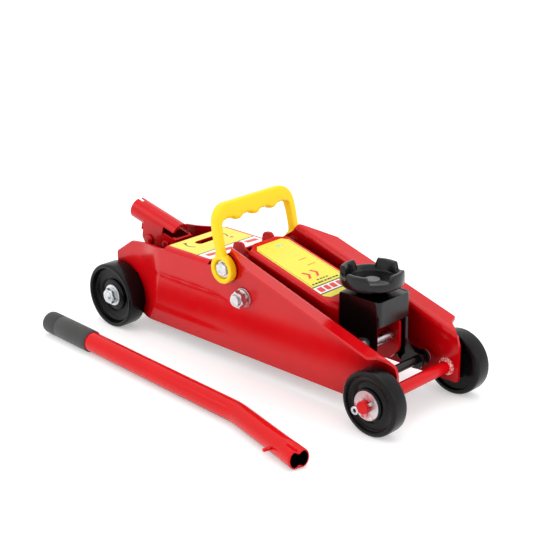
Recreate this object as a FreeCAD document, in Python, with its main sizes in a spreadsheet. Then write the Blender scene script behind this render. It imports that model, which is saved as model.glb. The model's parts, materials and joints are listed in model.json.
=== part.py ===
"""A small hydraulic trolley jack with its loose pump bar, as one parametric document.

Every piece is drawn in the jack's working axes: X runs from the rear axle to the saddle, Y from the
-Y side plate to the +Y side plate, Z up from the floor, with the zero on the floor under the middle of
the rear axle. Each piece's Placement then moves it so that the origin is under the middle of the box
that holds the jack and its bar. Lengths are millimetres.
"""

import FreeCAD, Part
import math
import os

import Sketcher

os.makedirs("parts", exist_ok=True)
Vector = FreeCAD.Vector
Rotation = FreeCAD.Rotation
doc = FreeCAD.newDocument("trolley_jack")
sheet = doc.addObject("Spreadsheet::Sheet", "Sheet")

DIMENSIONS = {
    # place of the row's origin, seen from the rear axle
    "origin_x": 195.5,
    "origin_y": -47.25,
    "gap": 0.1,
    "fit": 0.05,
    # wheels and axle
    "wheelbase": 398.5,
    "front_radius": 33.5,
    "front_width": 20,
    "front_face": 75,
    "rear_radius": 37.6,
    "rear_width": 23.2,
    "rear_face": 65.8,
    "rim_wall": 5.5,
    "hub_step": 2.5,
    "wheel_nut_flats": 17,
    "wheel_head_thick": 6.5,
    "front_dish": 4,
    "rear_dish": 10,
    "rear_hub_sink": 6,
    "front_hub_radius": 16.5,
    "rear_hub_radius": 18,
    "axle_radius": 6.5,
    "axle_half": 83.5,
    "front_washer_radius": 15,
    "front_washer_start": 75.8,
    "washer_thick": 1.8,
    "weld_leg": 3.2,
    "split_pin_y": 80,
    "split_pin_radius": 1.5,
    "split_pin_reach": 11,
    "split_loop_radius": 3.2,
    "split_pin_tilt": 33,
    # side plates
    "plate_thick": 3,
    "plate_face": 49.7,
    "plate_face_rear": 41.2,
    "plate_floor": 19,
    "plate_rear": -10.5,
    "plate_front": 413.3,
    "plate_front_top": 75,
    "plate_round": 7,
    "step_start": 34,
    "step_end": 46,
    "step_skew": 0.96,
    "step_round": 4,
    "rear_chamfer_z": 84.5,
    "rear_top_x": 16.5,
    "rear_top_z": 102.5,
    "cover_start": 80,
    "cover_end": 151,
    "cover_seat": 107.5,
    "flange_start": 189,
    "flange_end": 398,
    "flange_top": 139.2,
    "flange_slope": 0.303,
    "flange_reach": 68.7,
    "flange_cut": 42,
    "flange_nose": 9,
    "bend_outer": 6,
    "panel_rear": 52,
    "panel_top": 80,
    "panel_bottom": 37.5,
    "panel_front_top": 150,
    "panel_front_bottom": 232,
    "panel_depth": 0.9,
    # rear cover
    "cover_thick": 2,
    "cover_top": 112,
    "cover_round": 5,
    "slot_x": 99,
    "slot_y": -2,
    "slot_half": 15,
    "slot_radius": 5,
    "label_thick": 0.3,
    "cover_label_end": 128,
    "cover_label_half": 42,
    # lift arm
    "pivot_x": 206,
    "pivot_z": 85.5,
    "pivot_radius": 6,
    "pivot_half": 64,
    "pivot_nut_flats": 18,
    "pivot_nut_thick": 8,
    "pivot_spring_washer_radius": 10,
    "pivot_spring_washer_thick": 2.4,
    "pivot_spring_washer_gap": 1.8,
    "pivot_washer_radius": 11.5,
    "pivot_washer_thick": 1.6,
    "pivot_spacer_radius": 9,
    "side_play": 0.3,
    "arm_wall": 3,
    "arm_inner": 29,
    "arm_nose_face": 19.5,
    "arm_rear": 189,
    "arm_top_z": 132.3,
    "arm_slope": 0.258,
    "arm_break": 297,
    "arm_nose_start": 315,
    "arm_nose_end": 361,
    "arm_corner": 7,
    "ear_x": 185,
    "ear_z": 129,
    "ear_radius": 9,
    "head_pin_x": 349,
    "head_pin_z": 64,
    "head_pin_radius": 6,
    "head_pin_half": 27.4,
    "nose_half_height": 26,
    "arm_label_start": 196,
    "arm_label_end": 293,
    "arm_label_half": 25,
    "crank_length": 40,
    "crank_x": 187.2,
    "crank_z": 50.2,
    "crank_lobe": 10,
    "crank_pin_radius": 6,
    # saddle bracket and saddle
    "bracket_rear": 317,
    "bracket_front": 369.2,
    "bracket_face": 24.4,
    "bracket_wall": 2.5,
    "bracket_top": 114.8,
    "window_top": 90,
    "link_x": 378,
    "link_z": 42,
    "link_lobe": 9.5,
    "link_pin_radius": 4.5,
    "link_pin_half": 38.5,
    "saddle_x": 339,
    "saddle_radius": 32.5,
    "saddle_rim": 131,
    "saddle_lug": 7,
    "saddle_foot": 14,
    "saddle_neck": 122,
    "saddle_wall": 5,
    "saddle_floor": 125,
    "saddle_post": 8,
    "saddle_lug_angle": 47,
    "saddle_turn": 20,
    "saddle_button": 8,
    # tie links
    "tie_inner": 33,
    "tie_thick": 3,
    "tie_eye": 8,
    "tie_half_width": 6,
    # hydraulic unit
    "block_rear": 2,
    "block_front": 72,
    "block_half": 26,
    "block_floor": 24,
    "block_top": 78,
    "foot_start": 14,
    "foot_end": 31,
    "foot_top": 68,
    "ram_z": 49.5,
    "cylinder_radius": 17,
    "cylinder_bore": 13,
    "cylinder_end": 160,
    "gland_end": 168,
    "ram_radius": 9,
    "piston_start": 84,
    "piston_end": 92,
    "ram_end": 176,
    "head_end": 199,
    "head_half": 11,
    "head_height": 32,
    "slot_play": 0.8,
    "slot_rise": 9,
    "tank_start": 78,
    "tank_end": 147,
    "tank_floor": 68,
    "tank_top": 98,
    "filler_x": 97,
    "filler_radius": 6,
    "filler_top": 105,
    "cap_x": 71.5,
    "cap_y": 10,
    "cap_radius": 5,
    "cap_top": 103,
    "valve_y": 16,
    "valve_z": 50,
    "valve_radius": 5,
    "valve_end": -17,
    "valve_key": 2.2,
    "spring_y": 21.4,
    "spring_radius": 3,
    "spring_wire": 0.6,
    "spring_start": 73.5,
    "spring_turns": 26,
    "plunger_spring_turns": 3,
    "plunger_spring_play": 1.6,
    "screw_radius": 4,
    "screw_low_z": 30,
    "screw_high_z": 62,
    "screw_x": 23,
    # pump handle socket
    "socket_x": 42,
    "socket_z": 95.5,
    "socket_tilt": 13,
    "socket_radius": 12.7,
    "socket_bore": 11.2,
    "socket_seat": 9.4,
    "socket_axis": 14.7,
    "socket_mouth": -65.6,
    "socket_end": 8,
    "cheek_rear": -42,
    "cheek_front": 13,
    "cheek_low": -15.5,
    "socket_tab": 1.6,
    "notch_half": 2.6,
    "notch_long": 8,
    "window_rear": -9,
    "window_low": 9,
    "window_high": 19,
    "post_half": 9,
    "post_eye": 6,
    "socket_pin_radius": 4,
    "pump_arm": 29,
    "plunger_radius": 5,
    "plunger_eye": 5.5,
    "plunger_half": 6,
    "plunger_floor": 60,
    "plunger_pin_radius": 3.5,
    "slot_reach": 4.6,
    "pump_boss": 9,
    "pump_top": 80,
    "lock_x": -53,
    "lock_radius": 3.4,
    # carry handle
    "handle_x": 182.3,
    "handle_z": 113.1,
    "handle_lean": -10.5,
    "boss_radius": 15.4,
    "boss_inner": 50.4,
    "boss_outer": 59.8,
    "boss_recess": 10.2,
    "recess_depth": 5,
    "handle_bolt_radius": 5,
    "handle_washer_radius": 9.2,
    "handle_washer_thick": 1.2,
    "handle_head_flats": 14,
    "handle_head_thick": 3.4,
    "handle_nut_flats": 16,
    "handle_nut_thick": 6,
    "leg_outer": 58.4,
    "leg_inner": 50.2,
    "leg_deep": 11.4,
    "grip_top": 66,
    "grip_under": 51.5,
    "grip_corner": 15,
    "scallop_depth": 3,
    "scallop_pitch": 20,
    # loose pump bar
    "bar_x": -40.5,
    "bar_y": -122.4,
    "bar_yaw": -3,
    "bar_pitch": 0.245,
    "bar_height": 12.86,
    "bar_radius": 11,
    "bar_wall": 1.5,
    "bar_straight": 317.5,
    "bar_bend": 11,
    "bar_bend_radius": 90,
    "bar_tail": 101.5,
    "grip_radius": 12.5,
    "grip_length": 84,
    "grip_cap": 2.5,
    "grip_round": 4,
    "bar_pin_radius": 1.9,
    "bar_pin_back": 29,
    "bar_pin_reach": 19,
}


class Dim:
    """A number together with the sheet expression that gives it."""

    def __init__(self, value, text):
        self.value = value
        self.text = text

    def join(self, sign, other, value):
        return Dim(value, f"({self.text} {sign} {as_dim(other).text})")

    def __add__(self, other):
        return self.join("+", other, self.value + as_dim(other).value)

    def __sub__(self, other):
        return self.join("-", other, self.value - as_dim(other).value)

    def __mul__(self, other):
        return self.join("*", other, self.value * as_dim(other).value)

    def __truediv__(self, other):
        return self.join("/", other, self.value / as_dim(other).value)

    def __radd__(self, other):
        return as_dim(other) + self

    def __rsub__(self, other):
        return as_dim(other) - self

    def __rmul__(self, other):
        return as_dim(other) * self

    def __neg__(self):
        return Dim(-self.value, f"(-1 * {self.text})")


def as_dim(number):
    return number if isinstance(number, Dim) else Dim(float(number), repr(float(number)))


def sine(angle):
    return Dim(math.sin(math.radians(angle.value)), f"sin({angle.text} * 1 deg)")


def cosine(angle):
    return Dim(math.cos(math.radians(angle.value)), f"cos({angle.text} * 1 deg)")


class Dims:
    """The sheet's cells by name."""


def fill_sheet():
    cells = Dims()
    for row, (name, value) in enumerate(DIMENSIONS.items(), start=1):
        sheet.set(f"A{row}", str(value))
        sheet.setAlias(f"A{row}", name)
        setattr(cells, name, Dim(float(value), f"Sheet.{name}"))
    doc.recompute()
    return cells


d = fill_sheet()
ZERO = as_dim(0)
SIDES = {"left": -1, "right": 1}
# normal of each origin plane's sketch, along the axis that it crosses
NORMAL = {"XY_Plane": 1, "XZ_Plane": -1, "YZ_Plane": 1}
PLACE = ".Placement.Base."
pieces = []


# ---------------------------------------------------------------- drawing and feature helpers


def bind(thing, prop, size):
    thing.setExpression(prop, as_dim(size).text)


def put(thing, x=ZERO, y=ZERO, z=ZERO, rotation=None):
    """Place an object from sheet dimensions, turned by a fixed rotation."""
    if rotation is not None:
        thing.Placement = FreeCAD.Placement(Vector(0, 0, 0), rotation)
    for axis, size in zip("xyz", (x, y, z)):
        bind(thing, PLACE + axis, size)


def keep(thing, label, x=ZERO, y=ZERO, z=ZERO, rotation=None):
    """Name a finished sub-part and move it from the rear axle's zero to the row's origin."""
    thing.Label = label
    put(thing, x - d.origin_x, y - d.origin_y, z, rotation)
    pieces.append(thing)
    return thing


def new_body(label):
    return doc.addObject("PartDesign::Body", label + "_body")


def plane(body, role):
    return next(f for f in body.Origin.OriginFeatures if f.Role == role)


def draw_circle(sketch, wire):
    _, across, up, radius = wire
    x, y, r = as_dim(across), as_dim(up), as_dim(radius)
    edge = sketch.addGeometry(Part.Circle(Vector(x.value, y.value, 0), Vector(0, 0, 1), r.value))
    places = (
        ("DistanceX", (-1, 1, edge, 3), x),
        ("DistanceY", (-1, 1, edge, 3), y),
        ("Radius", (edge,), r),
    )
    for kind, where, size in places:
        mark = sketch.addConstraint(Sketcher.Constraint(kind, *where, size.value))
        bind(sketch, f"Constraints[{mark}]", size)


def draw_polygon(sketch, corners):
    points = [(as_dim(x), as_dim(y)) for x, y in corners]
    count = len(points)
    edges = []
    for i in range(count):
        start = Vector(points[i][0].value, points[i][1].value, 0)
        stop = Vector(points[(i + 1) % count][0].value, points[(i + 1) % count][1].value, 0)
        edges.append(sketch.addGeometry(Part.LineSegment(start, stop)))
    for i in range(count):
        sketch.addConstraint(Sketcher.Constraint("Coincident", edges[i], 2, edges[(i + 1) % count], 1))
        for kind, size in zip(("DistanceX", "DistanceY"), points[i]):
            mark = sketch.addConstraint(Sketcher.Constraint(kind, -1, 1, edges[i], 1, size.value))
            bind(sketch, f"Constraints[{mark}]", size)


def new_sketch(body, role, at, wires):
    sketch = body.newObject("Sketcher::SketchObject", "sketch")
    sketch.AttachmentSupport = (plane(body, role), [""])
    sketch.MapMode = "FlatFace"
    bind(sketch, ".AttachmentOffset.Base.z", NORMAL[role] * as_dim(at))
    for wire in wires:
        if wire[0] == "circle":
            draw_circle(sketch, wire)
        else:
            draw_polygon(sketch, wire)
    return sketch


def circle(across, up, radius):
    return ("circle", across, up, radius)


def box(low_x, low_y, high_x, high_y):
    return [(low_x, low_y), (high_x, low_y), (high_x, high_y), (low_x, high_y)]


def pad(body, role, low, high, wires):
    """Add the drawn shape between two distances along the axis that crosses the plane."""
    low, high = as_dim(low), as_dim(high)
    start = low if NORMAL[role] > 0 else high
    feature = body.newObject("PartDesign::Pad", "pad")
    feature.Profile = new_sketch(body, role, start, wires)
    bind(feature, "Length", high - low)
    doc.recompute()
    return feature


def pocket(body, role, low, high, wires):
    """Cut the drawn shape away between two distances along the axis that crosses the plane."""
    low, high = as_dim(low), as_dim(high)
    before = body.Tip.Shape.Volume
    start = high if NORMAL[role] > 0 else low
    feature = body.newObject("PartDesign::Pocket", "pocket")
    feature.Profile = new_sketch(body, role, start, wires)
    bind(feature, "Length", high - low)
    doc.recompute()
    if not feature.Shape.Volume < before:
        raise ValueError(f"a pocket of {body.Name} cuts nothing")
    return feature


def revolve(body, role, axis, wires):
    feature = body.newObject("PartDesign::Revolution", "turning")
    feature.Profile = new_sketch(body, role, ZERO, wires)
    feature.ReferenceAxis = (plane(body, axis), [""])
    doc.recompute()
    return feature


def fillet(body, radius, chosen):
    """Round the edges of the finished shape for which chosen(edge) is true."""
    names = []
    for number, edge in enumerate(body.Tip.Shape.Edges, start=1):
        if chosen(edge):
            names.append(f"Edge{number}")
    if not names:
        raise ValueError(f"no edge of {body.Name} was chosen for a fillet")
    feature = body.newObject("PartDesign::Fillet", "fillet")
    feature.Base = (body.Tip if body.Tip != feature else feature.BaseFeature, names)
    bind(feature, "Radius", radius)
    doc.recompute()
    return feature


def runs_along(edge, axis):
    """True for a straight edge parallel to the given direction."""
    if edge.Curve.TypeId != "Part::GeomLine":
        return False
    return abs(abs(edge.Curve.Direction.dot(axis)) - 1) < 1e-6


def near(edge, *spots):
    """True where the edge's middle is within a millimetre of a spot, None meaning any value."""
    middle = edge.CenterOfMass
    for spot in spots:
        gaps = [abs(m - as_dim(s).value) for m, s in zip(middle, spot) if s is not None]
        if max(gaps) < 1.0:
            return True
    return False


ALONG = {
    "x": Rotation(Vector(0, 1, 0), 90),
    "y": Rotation(Vector(1, 0, 0), -90),
    "z": Rotation(),
}


def rod(axis, start, radius, length):
    """A plain cylinder that starts at a point and runs along +X, +Y or +Z."""
    cylinder = doc.addObject("Part::Cylinder", "rod")
    bind(cylinder, "Radius", radius)
    bind(cylinder, "Height", length)
    put(cylinder, *start, rotation=ALONG[axis])
    return cylinder


def hexagon(start, flats, thick):
    """A hexagonal prism along +Y that starts at a point."""
    prism = doc.addObject("Part::Prism", "hexagon")
    prism.Polygon = 6
    bind(prism, "Circumradius", as_dim(flats) / as_dim(math.sqrt(3)))
    bind(prism, "Height", thick)
    put(prism, *start, rotation=ALONG["y"])
    return prism


def cut(base, tool):
    feature = doc.addObject("Part::Cut", "cut")
    feature.Base = base
    feature.Tool = tool
    return feature


def join(shapes):
    feature = doc.addObject("Part::MultiFuse", "joined")
    feature.Shapes = shapes
    return feature


def group(shapes):
    feature = doc.addObject("Part::Compound", "group")
    feature.Links = shapes
    return feature


def ring(axis, start, outer, inner, length):
    return cut(rod(axis, start, outer, length), rod(axis, start, inner, length))


def on_side(side, near_y, length):
    """Where a rod along +Y starts so that it covers near_y to near_y + length away from the middle."""
    return near_y if side > 0 else -(near_y + length)


# ---------------------------------------------------------------- frame


def flange_line(x):
    """Height of the side plate's flange at a distance from the rear axle."""
    return d.flange_top - d.flange_slope * (x - d.flange_start)


def side_plate(name, side):
    body = new_body(name)
    outer, inner = d.plate_face, d.plate_face - d.plate_thick
    rear_outer, rear_inner = d.plate_face_rear, d.plate_face_rear - d.plate_thick
    plan = [
        (d.plate_rear, side * rear_inner),
        (d.step_start + d.step_skew, side * rear_inner),
        (d.step_end + d.step_skew, side * inner),
        (d.plate_front, side * inner),
        (d.plate_front, side * outer),
        (d.step_end, side * outer),
        (d.step_start, side * rear_outer),
        (d.plate_rear, side * rear_outer),
    ]
    pad(body, "XY_Plane", d.plate_floor, d.flange_top, [plan])
    bends = ((d.step_start + d.step_skew, side * rear_inner, None), (d.step_end, side * outer, None),
             (d.step_end + d.step_skew, side * inner, None), (d.step_start, side * rear_outer, None))
    fillet(body, d.step_round, lambda e: runs_along(e, Vector(0, 0, 1)) and near(e, *bends))
    wall_top = flange_line(d.flange_start) - d.bend_outer
    outline = [
        (d.plate_rear, d.plate_floor + 12),
        (d.plate_rear + 14, d.plate_floor),
        (d.plate_front, d.plate_floor),
        (d.plate_front, d.plate_front_top - d.plate_round),
        (d.plate_front - d.plate_round, d.plate_front_top),
        (d.flange_end, d.plate_front_top),
        (d.flange_end, flange_line(d.flange_end) - d.bend_outer),
        (d.flange_start, wall_top),
        (d.cover_end + 1, d.cover_seat),
        (d.cover_start - 25, d.cover_seat),
        (d.rear_top_x, d.rear_top_z),
        (d.plate_rear, d.rear_chamfer_z),
    ]
    around = box(d.plate_rear - 10, 0, d.plate_front + 10, d.flange_top + 10)
    pocket(body, "XZ_Plane", -d.flange_reach, d.flange_reach, [around, outline])
    flange(body, side)
    holes = [
        circle(d.pivot_x, d.pivot_z, d.pivot_radius + d.fit),
        circle(d.handle_x, d.handle_z, d.handle_bolt_radius + d.fit),
        circle(d.wheelbase, d.front_radius, d.axle_radius + d.fit),
        circle(ZERO, d.rear_radius, d.handle_bolt_radius + d.fit),
        circle(d.screw_x, d.screw_low_z, d.screw_radius + d.fit),
        circle(d.screw_x, d.screw_high_z, d.screw_radius + d.fit),
    ]
    pocket(body, "XZ_Plane", -d.flange_reach, d.flange_reach, holes)
    panel = [
        (d.panel_rear, d.panel_bottom),
        (d.panel_front_bottom, d.panel_bottom),
        (d.panel_front_top, d.panel_top),
        (d.panel_rear, d.panel_top),
    ]
    low = -outer if side < 0 else outer - d.panel_depth
    pocket(body, "XZ_Plane", low, low + d.panel_depth, [panel])
    corners = ((d.plate_front, None, d.plate_front_top - d.plate_round),
               (d.plate_front - d.plate_round, None, d.plate_front_top))
    fillet(body, d.plate_round / 2, lambda e: runs_along(e, Vector(0, 1, 0)) and near(e, *corners))
    return keep(body, name)


def flange(body, side):
    """The bend along the plate's sloping top and the flat lip outside it, run out along the slope."""
    top = flange_line(d.flange_start)
    inner = d.plate_face - d.plate_thick
    low = top - d.bend_outer
    section = body.newObject("Sketcher::SketchObject", "flange_section")
    section.AttachmentSupport = (plane(body, "YZ_Plane"), [""])
    section.MapMode = "FlatFace"
    bind(section, ".AttachmentOffset.Base.z", d.flange_start)
    centre = inner + d.bend_outer
    draw_bend(section, side, centre, low, inner, top)
    lip = body.newObject("PartDesign::Pad", "flange")
    lip.Profile = section
    lip.UseCustomVector = True
    lip.Direction = Vector(1, 0, -d.flange_slope.value)
    lip.AlongSketchNormal = True
    bind(lip, "Length", d.flange_end - d.flange_start)
    doc.recompute()
    far = d.flange_reach + 5
    rear_cut = [
        (d.flange_start - 5, side * (inner - 0.5)),
        (d.flange_start, side * (inner - 0.5)),
        (d.flange_start + d.flange_cut, side * d.flange_reach),
        (d.flange_start + d.flange_cut, side * far),
        (d.flange_start - 5, side * far),
    ]
    pocket(body, "XY_Plane", low + 0.5, d.flange_top + 10, [rear_cut])
    nose_cut = [
        (d.flange_end - d.flange_nose, side * d.flange_reach),
        (d.flange_end + 5, side * (d.flange_reach - d.flange_nose)),
        (d.flange_end + 5, side * far),
        (d.flange_end - d.flange_nose, side * far),
    ]
    nose_low = flange_line(d.flange_end) - d.bend_outer
    pocket(body, "XY_Plane", nose_low, d.flange_top, [nose_cut])


def draw_bend(sketch, side, centre, low, inner, top):
    """Section of the bend: two quarter circles about one centre, and the lip's flat end."""
    reach = d.flange_reach
    thin = d.plate_thick
    small = d.bend_outer - thin
    corners = {
        "foot_in": (inner, low),
        "top_in": (centre, top),
        "top_out": (reach, top),
        "under_out": (reach, top - thin),
        "under_in": (centre, top - thin),
        "foot_out": (inner + thin, low),
    }
    where = {}
    for key, (across, up) in corners.items():
        where[key] = Vector(side * across.value, up.value, 0)
    middle = Vector(side * centre.value, low.value, 0)
    half = math.sqrt(0.5)

    def quarter(start, stop, radius):
        between = middle + Vector(-side * radius.value * half, radius.value * half, 0)
        return sketch.addGeometry(Part.Arc(where[start], between, where[stop]))

    def straight(start, stop):
        return sketch.addGeometry(Part.LineSegment(where[start], where[stop]))

    big_arc = quarter("foot_in", "top_in", d.bend_outer)
    straight("top_in", "top_out")
    straight("top_out", "under_out")
    straight("under_out", "under_in")
    small_arc = quarter("under_in", "foot_out", small)
    straight("foot_out", "foot_in")
    for edge in (big_arc, small_arc):
        sketch.addConstraint(Sketcher.Constraint("Block", edge))
    for edge in range(1, 6):
        if edge != small_arc:
            sketch.addConstraint(Sketcher.Constraint("Block", edge))


def front_axle():
    bar = rod("y", (d.wheelbase, -d.axle_half, d.front_radius), d.axle_radius, d.axle_half * 2)
    for side in SIDES.values():
        bar = cut(bar, split_pin_rod(side, d.split_pin_radius + d.gap))
    return keep(bar, "front_axle")


def split_pin_turn():
    """Turns +Z to the split pin's direction, tilted up from +X in the XZ plane."""
    return Rotation(Vector(0, 1, 0), 90 - d.split_pin_tilt.value)


def split_pin_rod(side, radius):
    pin = doc.addObject("Part::Cylinder", "split_pin_rod")
    bind(pin, "Radius", radius)
    bind(pin, "Height", d.split_pin_reach * 2)
    put(
        pin,
        d.wheelbase - d.split_pin_reach * cosine(d.split_pin_tilt),
        side * d.split_pin_y,
        d.front_radius - d.split_pin_reach * sine(d.split_pin_tilt),
        rotation=split_pin_turn(),
    )
    return pin


def front_split_pins():
    pins = []
    for side in SIDES.values():
        loop = doc.addObject("Part::Torus", "split_pin_loop")
        bind(loop, "Radius1", d.split_loop_radius)
        bind(loop, "Radius2", d.split_pin_radius - 0.3)
        back = d.split_pin_reach + d.split_loop_radius
        put(
            loop,
            d.wheelbase - back * cosine(d.split_pin_tilt),
            side * d.split_pin_y,
            d.front_radius - back * sine(d.split_pin_tilt),
            rotation=Rotation(Vector(1, 0, 0), 90),
        )
        pins.append(join([split_pin_rod(side, d.split_pin_radius), loop]))
    return keep(group(pins), "front_split_pins")


def axle_welds():
    beads = []
    for side in SIDES.values():
        inner = d.plate_face - d.plate_thick - d.fit
        bead = doc.addObject("Part::Cone", "bead")
        low, high = d.axle_radius + 0.6, d.axle_radius + d.weld_leg
        bind(bead, "Radius1", low if side > 0 else high)
        bind(bead, "Radius2", high if side > 0 else low)
        bind(bead, "Height", d.weld_leg)
        start = inner - d.weld_leg if side > 0 else -inner
        put(bead, d.wheelbase, start, d.front_radius, rotation=ALONG["y"])
        hole = rod("y", (d.wheelbase, start, d.front_radius), d.axle_radius + d.fit, d.weld_leg)
        beads.append(cut(bead, hole))
    return keep(group(beads), "axle_welds")


def rear_cover():
    body = new_body("rear_cover")
    half, top, thick = d.plate_face, d.cover_top, d.cover_thick
    foot = d.cover_seat + d.gap
    section = [
        (-half, foot),
        (-half, top),
        (half, top),
        (half, foot),
        (half - thick, foot),
        (half - thick, top - thick),
        (thick - half, top - thick),
        (thick - half, foot),
    ]
    pad(body, "YZ_Plane", d.cover_start, d.cover_end, [section])
    outer = ((None, half, top), (None, -half, top))
    fillet(body, d.cover_round - 1, lambda e: runs_along(e, Vector(1, 0, 0)) and near(e, *outer))
    pocket(body, "XY_Plane", foot, top + 1, [cover_slot(ZERO)])
    round_slot(body)
    return keep(body, "rear_cover")


def cover_slot(grow):
    return box(
        d.slot_x - d.slot_radius - grow,
        d.slot_y - d.slot_half - grow,
        d.slot_x + d.slot_radius + grow,
        d.slot_y + d.slot_half + grow,
    )


def round_slot(body):
    """Round the slot's four corners to a full radius, less a hair for the fillet."""
    spots = []
    for x in (d.slot_x - d.slot_radius, d.slot_x + d.slot_radius):
        for y in (d.slot_y - d.slot_half, d.slot_y + d.slot_half):
            spots.append((x, y, None))
    fillet(body, d.slot_radius - d.gap, lambda e: runs_along(e, Vector(0, 0, 1)) and near(e, *spots))


def cover_label():
    body = new_body("cover_label")
    outline = box(d.cover_start + 1.5, -d.cover_label_half, d.cover_label_end, d.cover_label_half)
    low = d.cover_top + d.fit
    pad(body, "XY_Plane", low, low + d.label_thick, [outline])
    pocket(body, "XY_Plane", low - 1, low + 1, [cover_slot(ZERO)])
    round_slot(body)
    return keep(body, "cover_label")


# ---------------------------------------------------------------- wheels


def wheel(name, side, front):
    """A moulded wheel with a dished outer face, turned about its own axle line."""
    body = new_body(name)
    radius = d.front_radius if front else d.rear_radius
    face = d.front_face if front else d.rear_face
    width = d.front_width if front else d.rear_width
    dish = d.front_dish if front else d.rear_dish
    hub = d.front_hub_radius if front else d.rear_hub_radius
    hub_face = face + 0.6 if front else face - d.rear_hub_sink
    bore = (d.axle_radius if front else d.handle_bolt_radius) + d.fit * 1.4
    inner = face - width
    rim = radius - d.rim_wall
    web = face - dish
    step = hub_face - d.hub_step
    across = [
        (bore, inner),
        (radius, inner),
        (radius, face),
        (rim, face),
        (rim - 1.5, web),
        (hub + 3, web),
        (hub + 2, step),
        (hub, step),
        (hub - 0.6, hub_face),
        (bore, hub_face),
    ]
    profile = [(r, side * y) for r, y in across]
    revolve(body, "XY_Plane", "Y_Axis", [profile])
    tread = ((None, side * face, None), (None, side * inner, None))

    def is_tread_edge(edge):
        if edge.Curve.TypeId != "Part::GeomCircle":
            return False
        return abs(edge.Curve.Radius - radius.value) < 0.01 and near(edge, *tread)

    fillet(body, d.hub_step, is_tread_edge)
    x = d.wheelbase if front else ZERO
    return keep(body, name, x=x, z=radius)


def front_wheel_washers():
    washers = []
    for side in SIDES.values():
        start = on_side(side, d.front_washer_start, d.washer_thick)
        centre = (d.wheelbase, start, d.front_radius)
        washers.append(ring("y", centre, d.front_washer_radius, d.axle_radius + d.fit, d.washer_thick))
    return keep(group(washers), "front_wheel_washers")


def rear_wheel_hub_face():
    return d.rear_face - d.rear_hub_sink


def rear_wheel_washers():
    washers = []
    for side in SIDES.values():
        start = on_side(side, rear_wheel_hub_face() + 0.2, d.washer_thick)
        centre = (ZERO, start, d.rear_radius)
        washers.append(ring("y", centre, d.front_washer_radius - 1, d.handle_bolt_radius + d.fit,
                            d.washer_thick))
    return keep(group(washers), "rear_wheel_washers")


def rear_wheel_bolts():
    bolts = []
    for side in SIDES.values():
        head_start = rear_wheel_hub_face() + 0.2 + d.washer_thick + d.fit
        head = hexagon((ZERO, on_side(side, head_start, as_dim(6.5)), d.rear_radius),
                       d.wheel_nut_flats, d.wheel_head_thick)
        inner = d.plate_face_rear - d.plate_thick - 9
        length = head_start - inner
        shank = rod("y", (ZERO, on_side(side, inner, length), d.rear_radius), d.handle_bolt_radius,
                    length)
        bolts.append(join([head, shank]))
    return keep(group(bolts), "rear_wheel_bolts")


def rear_wheel_nuts():
    nuts = []
    for side in SIDES.values():
        thick = as_dim(6.8)
        inner = d.plate_face_rear - d.plate_thick - d.fit - thick
        start = on_side(side, inner, thick)
        nut = hexagon((ZERO, start, d.rear_radius), d.wheel_nut_flats, thick)
        nuts.append(cut(nut, rod("y", (ZERO, start, d.rear_radius), d.handle_bolt_radius + d.fit,
                                 thick)))
    return keep(group(nuts), "rear_wheel_nuts")


# ---------------------------------------------------------------- lift arm and its pivot


def pivot_rings(label, starts, outer, thick):
    rings = []
    for side in SIDES.values():
        for near_y in starts:
            start = on_side(side, near_y, thick)
            rings.append(ring("y", (d.pivot_x, start, d.pivot_z), outer, d.pivot_radius + d.fit, thick))
    return keep(group(rings), label)


def arm_pivot_nuts():
    nuts = []
    for side in SIDES.values():
        thick = d.pivot_nut_thick
        start = on_side(side, d.plate_face + 4.3, thick)
        nut = hexagon((d.pivot_x, start, d.pivot_z), d.pivot_nut_flats, thick)
        nuts.append(cut(nut, rod("y", (d.pivot_x, start, d.pivot_z), d.pivot_radius + d.fit, thick)))
    return keep(group(nuts), "arm_pivot_nuts")


def arm_line(x):
    """Height of the arm's sloping top at a distance from the rear axle."""
    return d.arm_top_z - d.arm_slope * (x - d.arm_rear)


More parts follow.
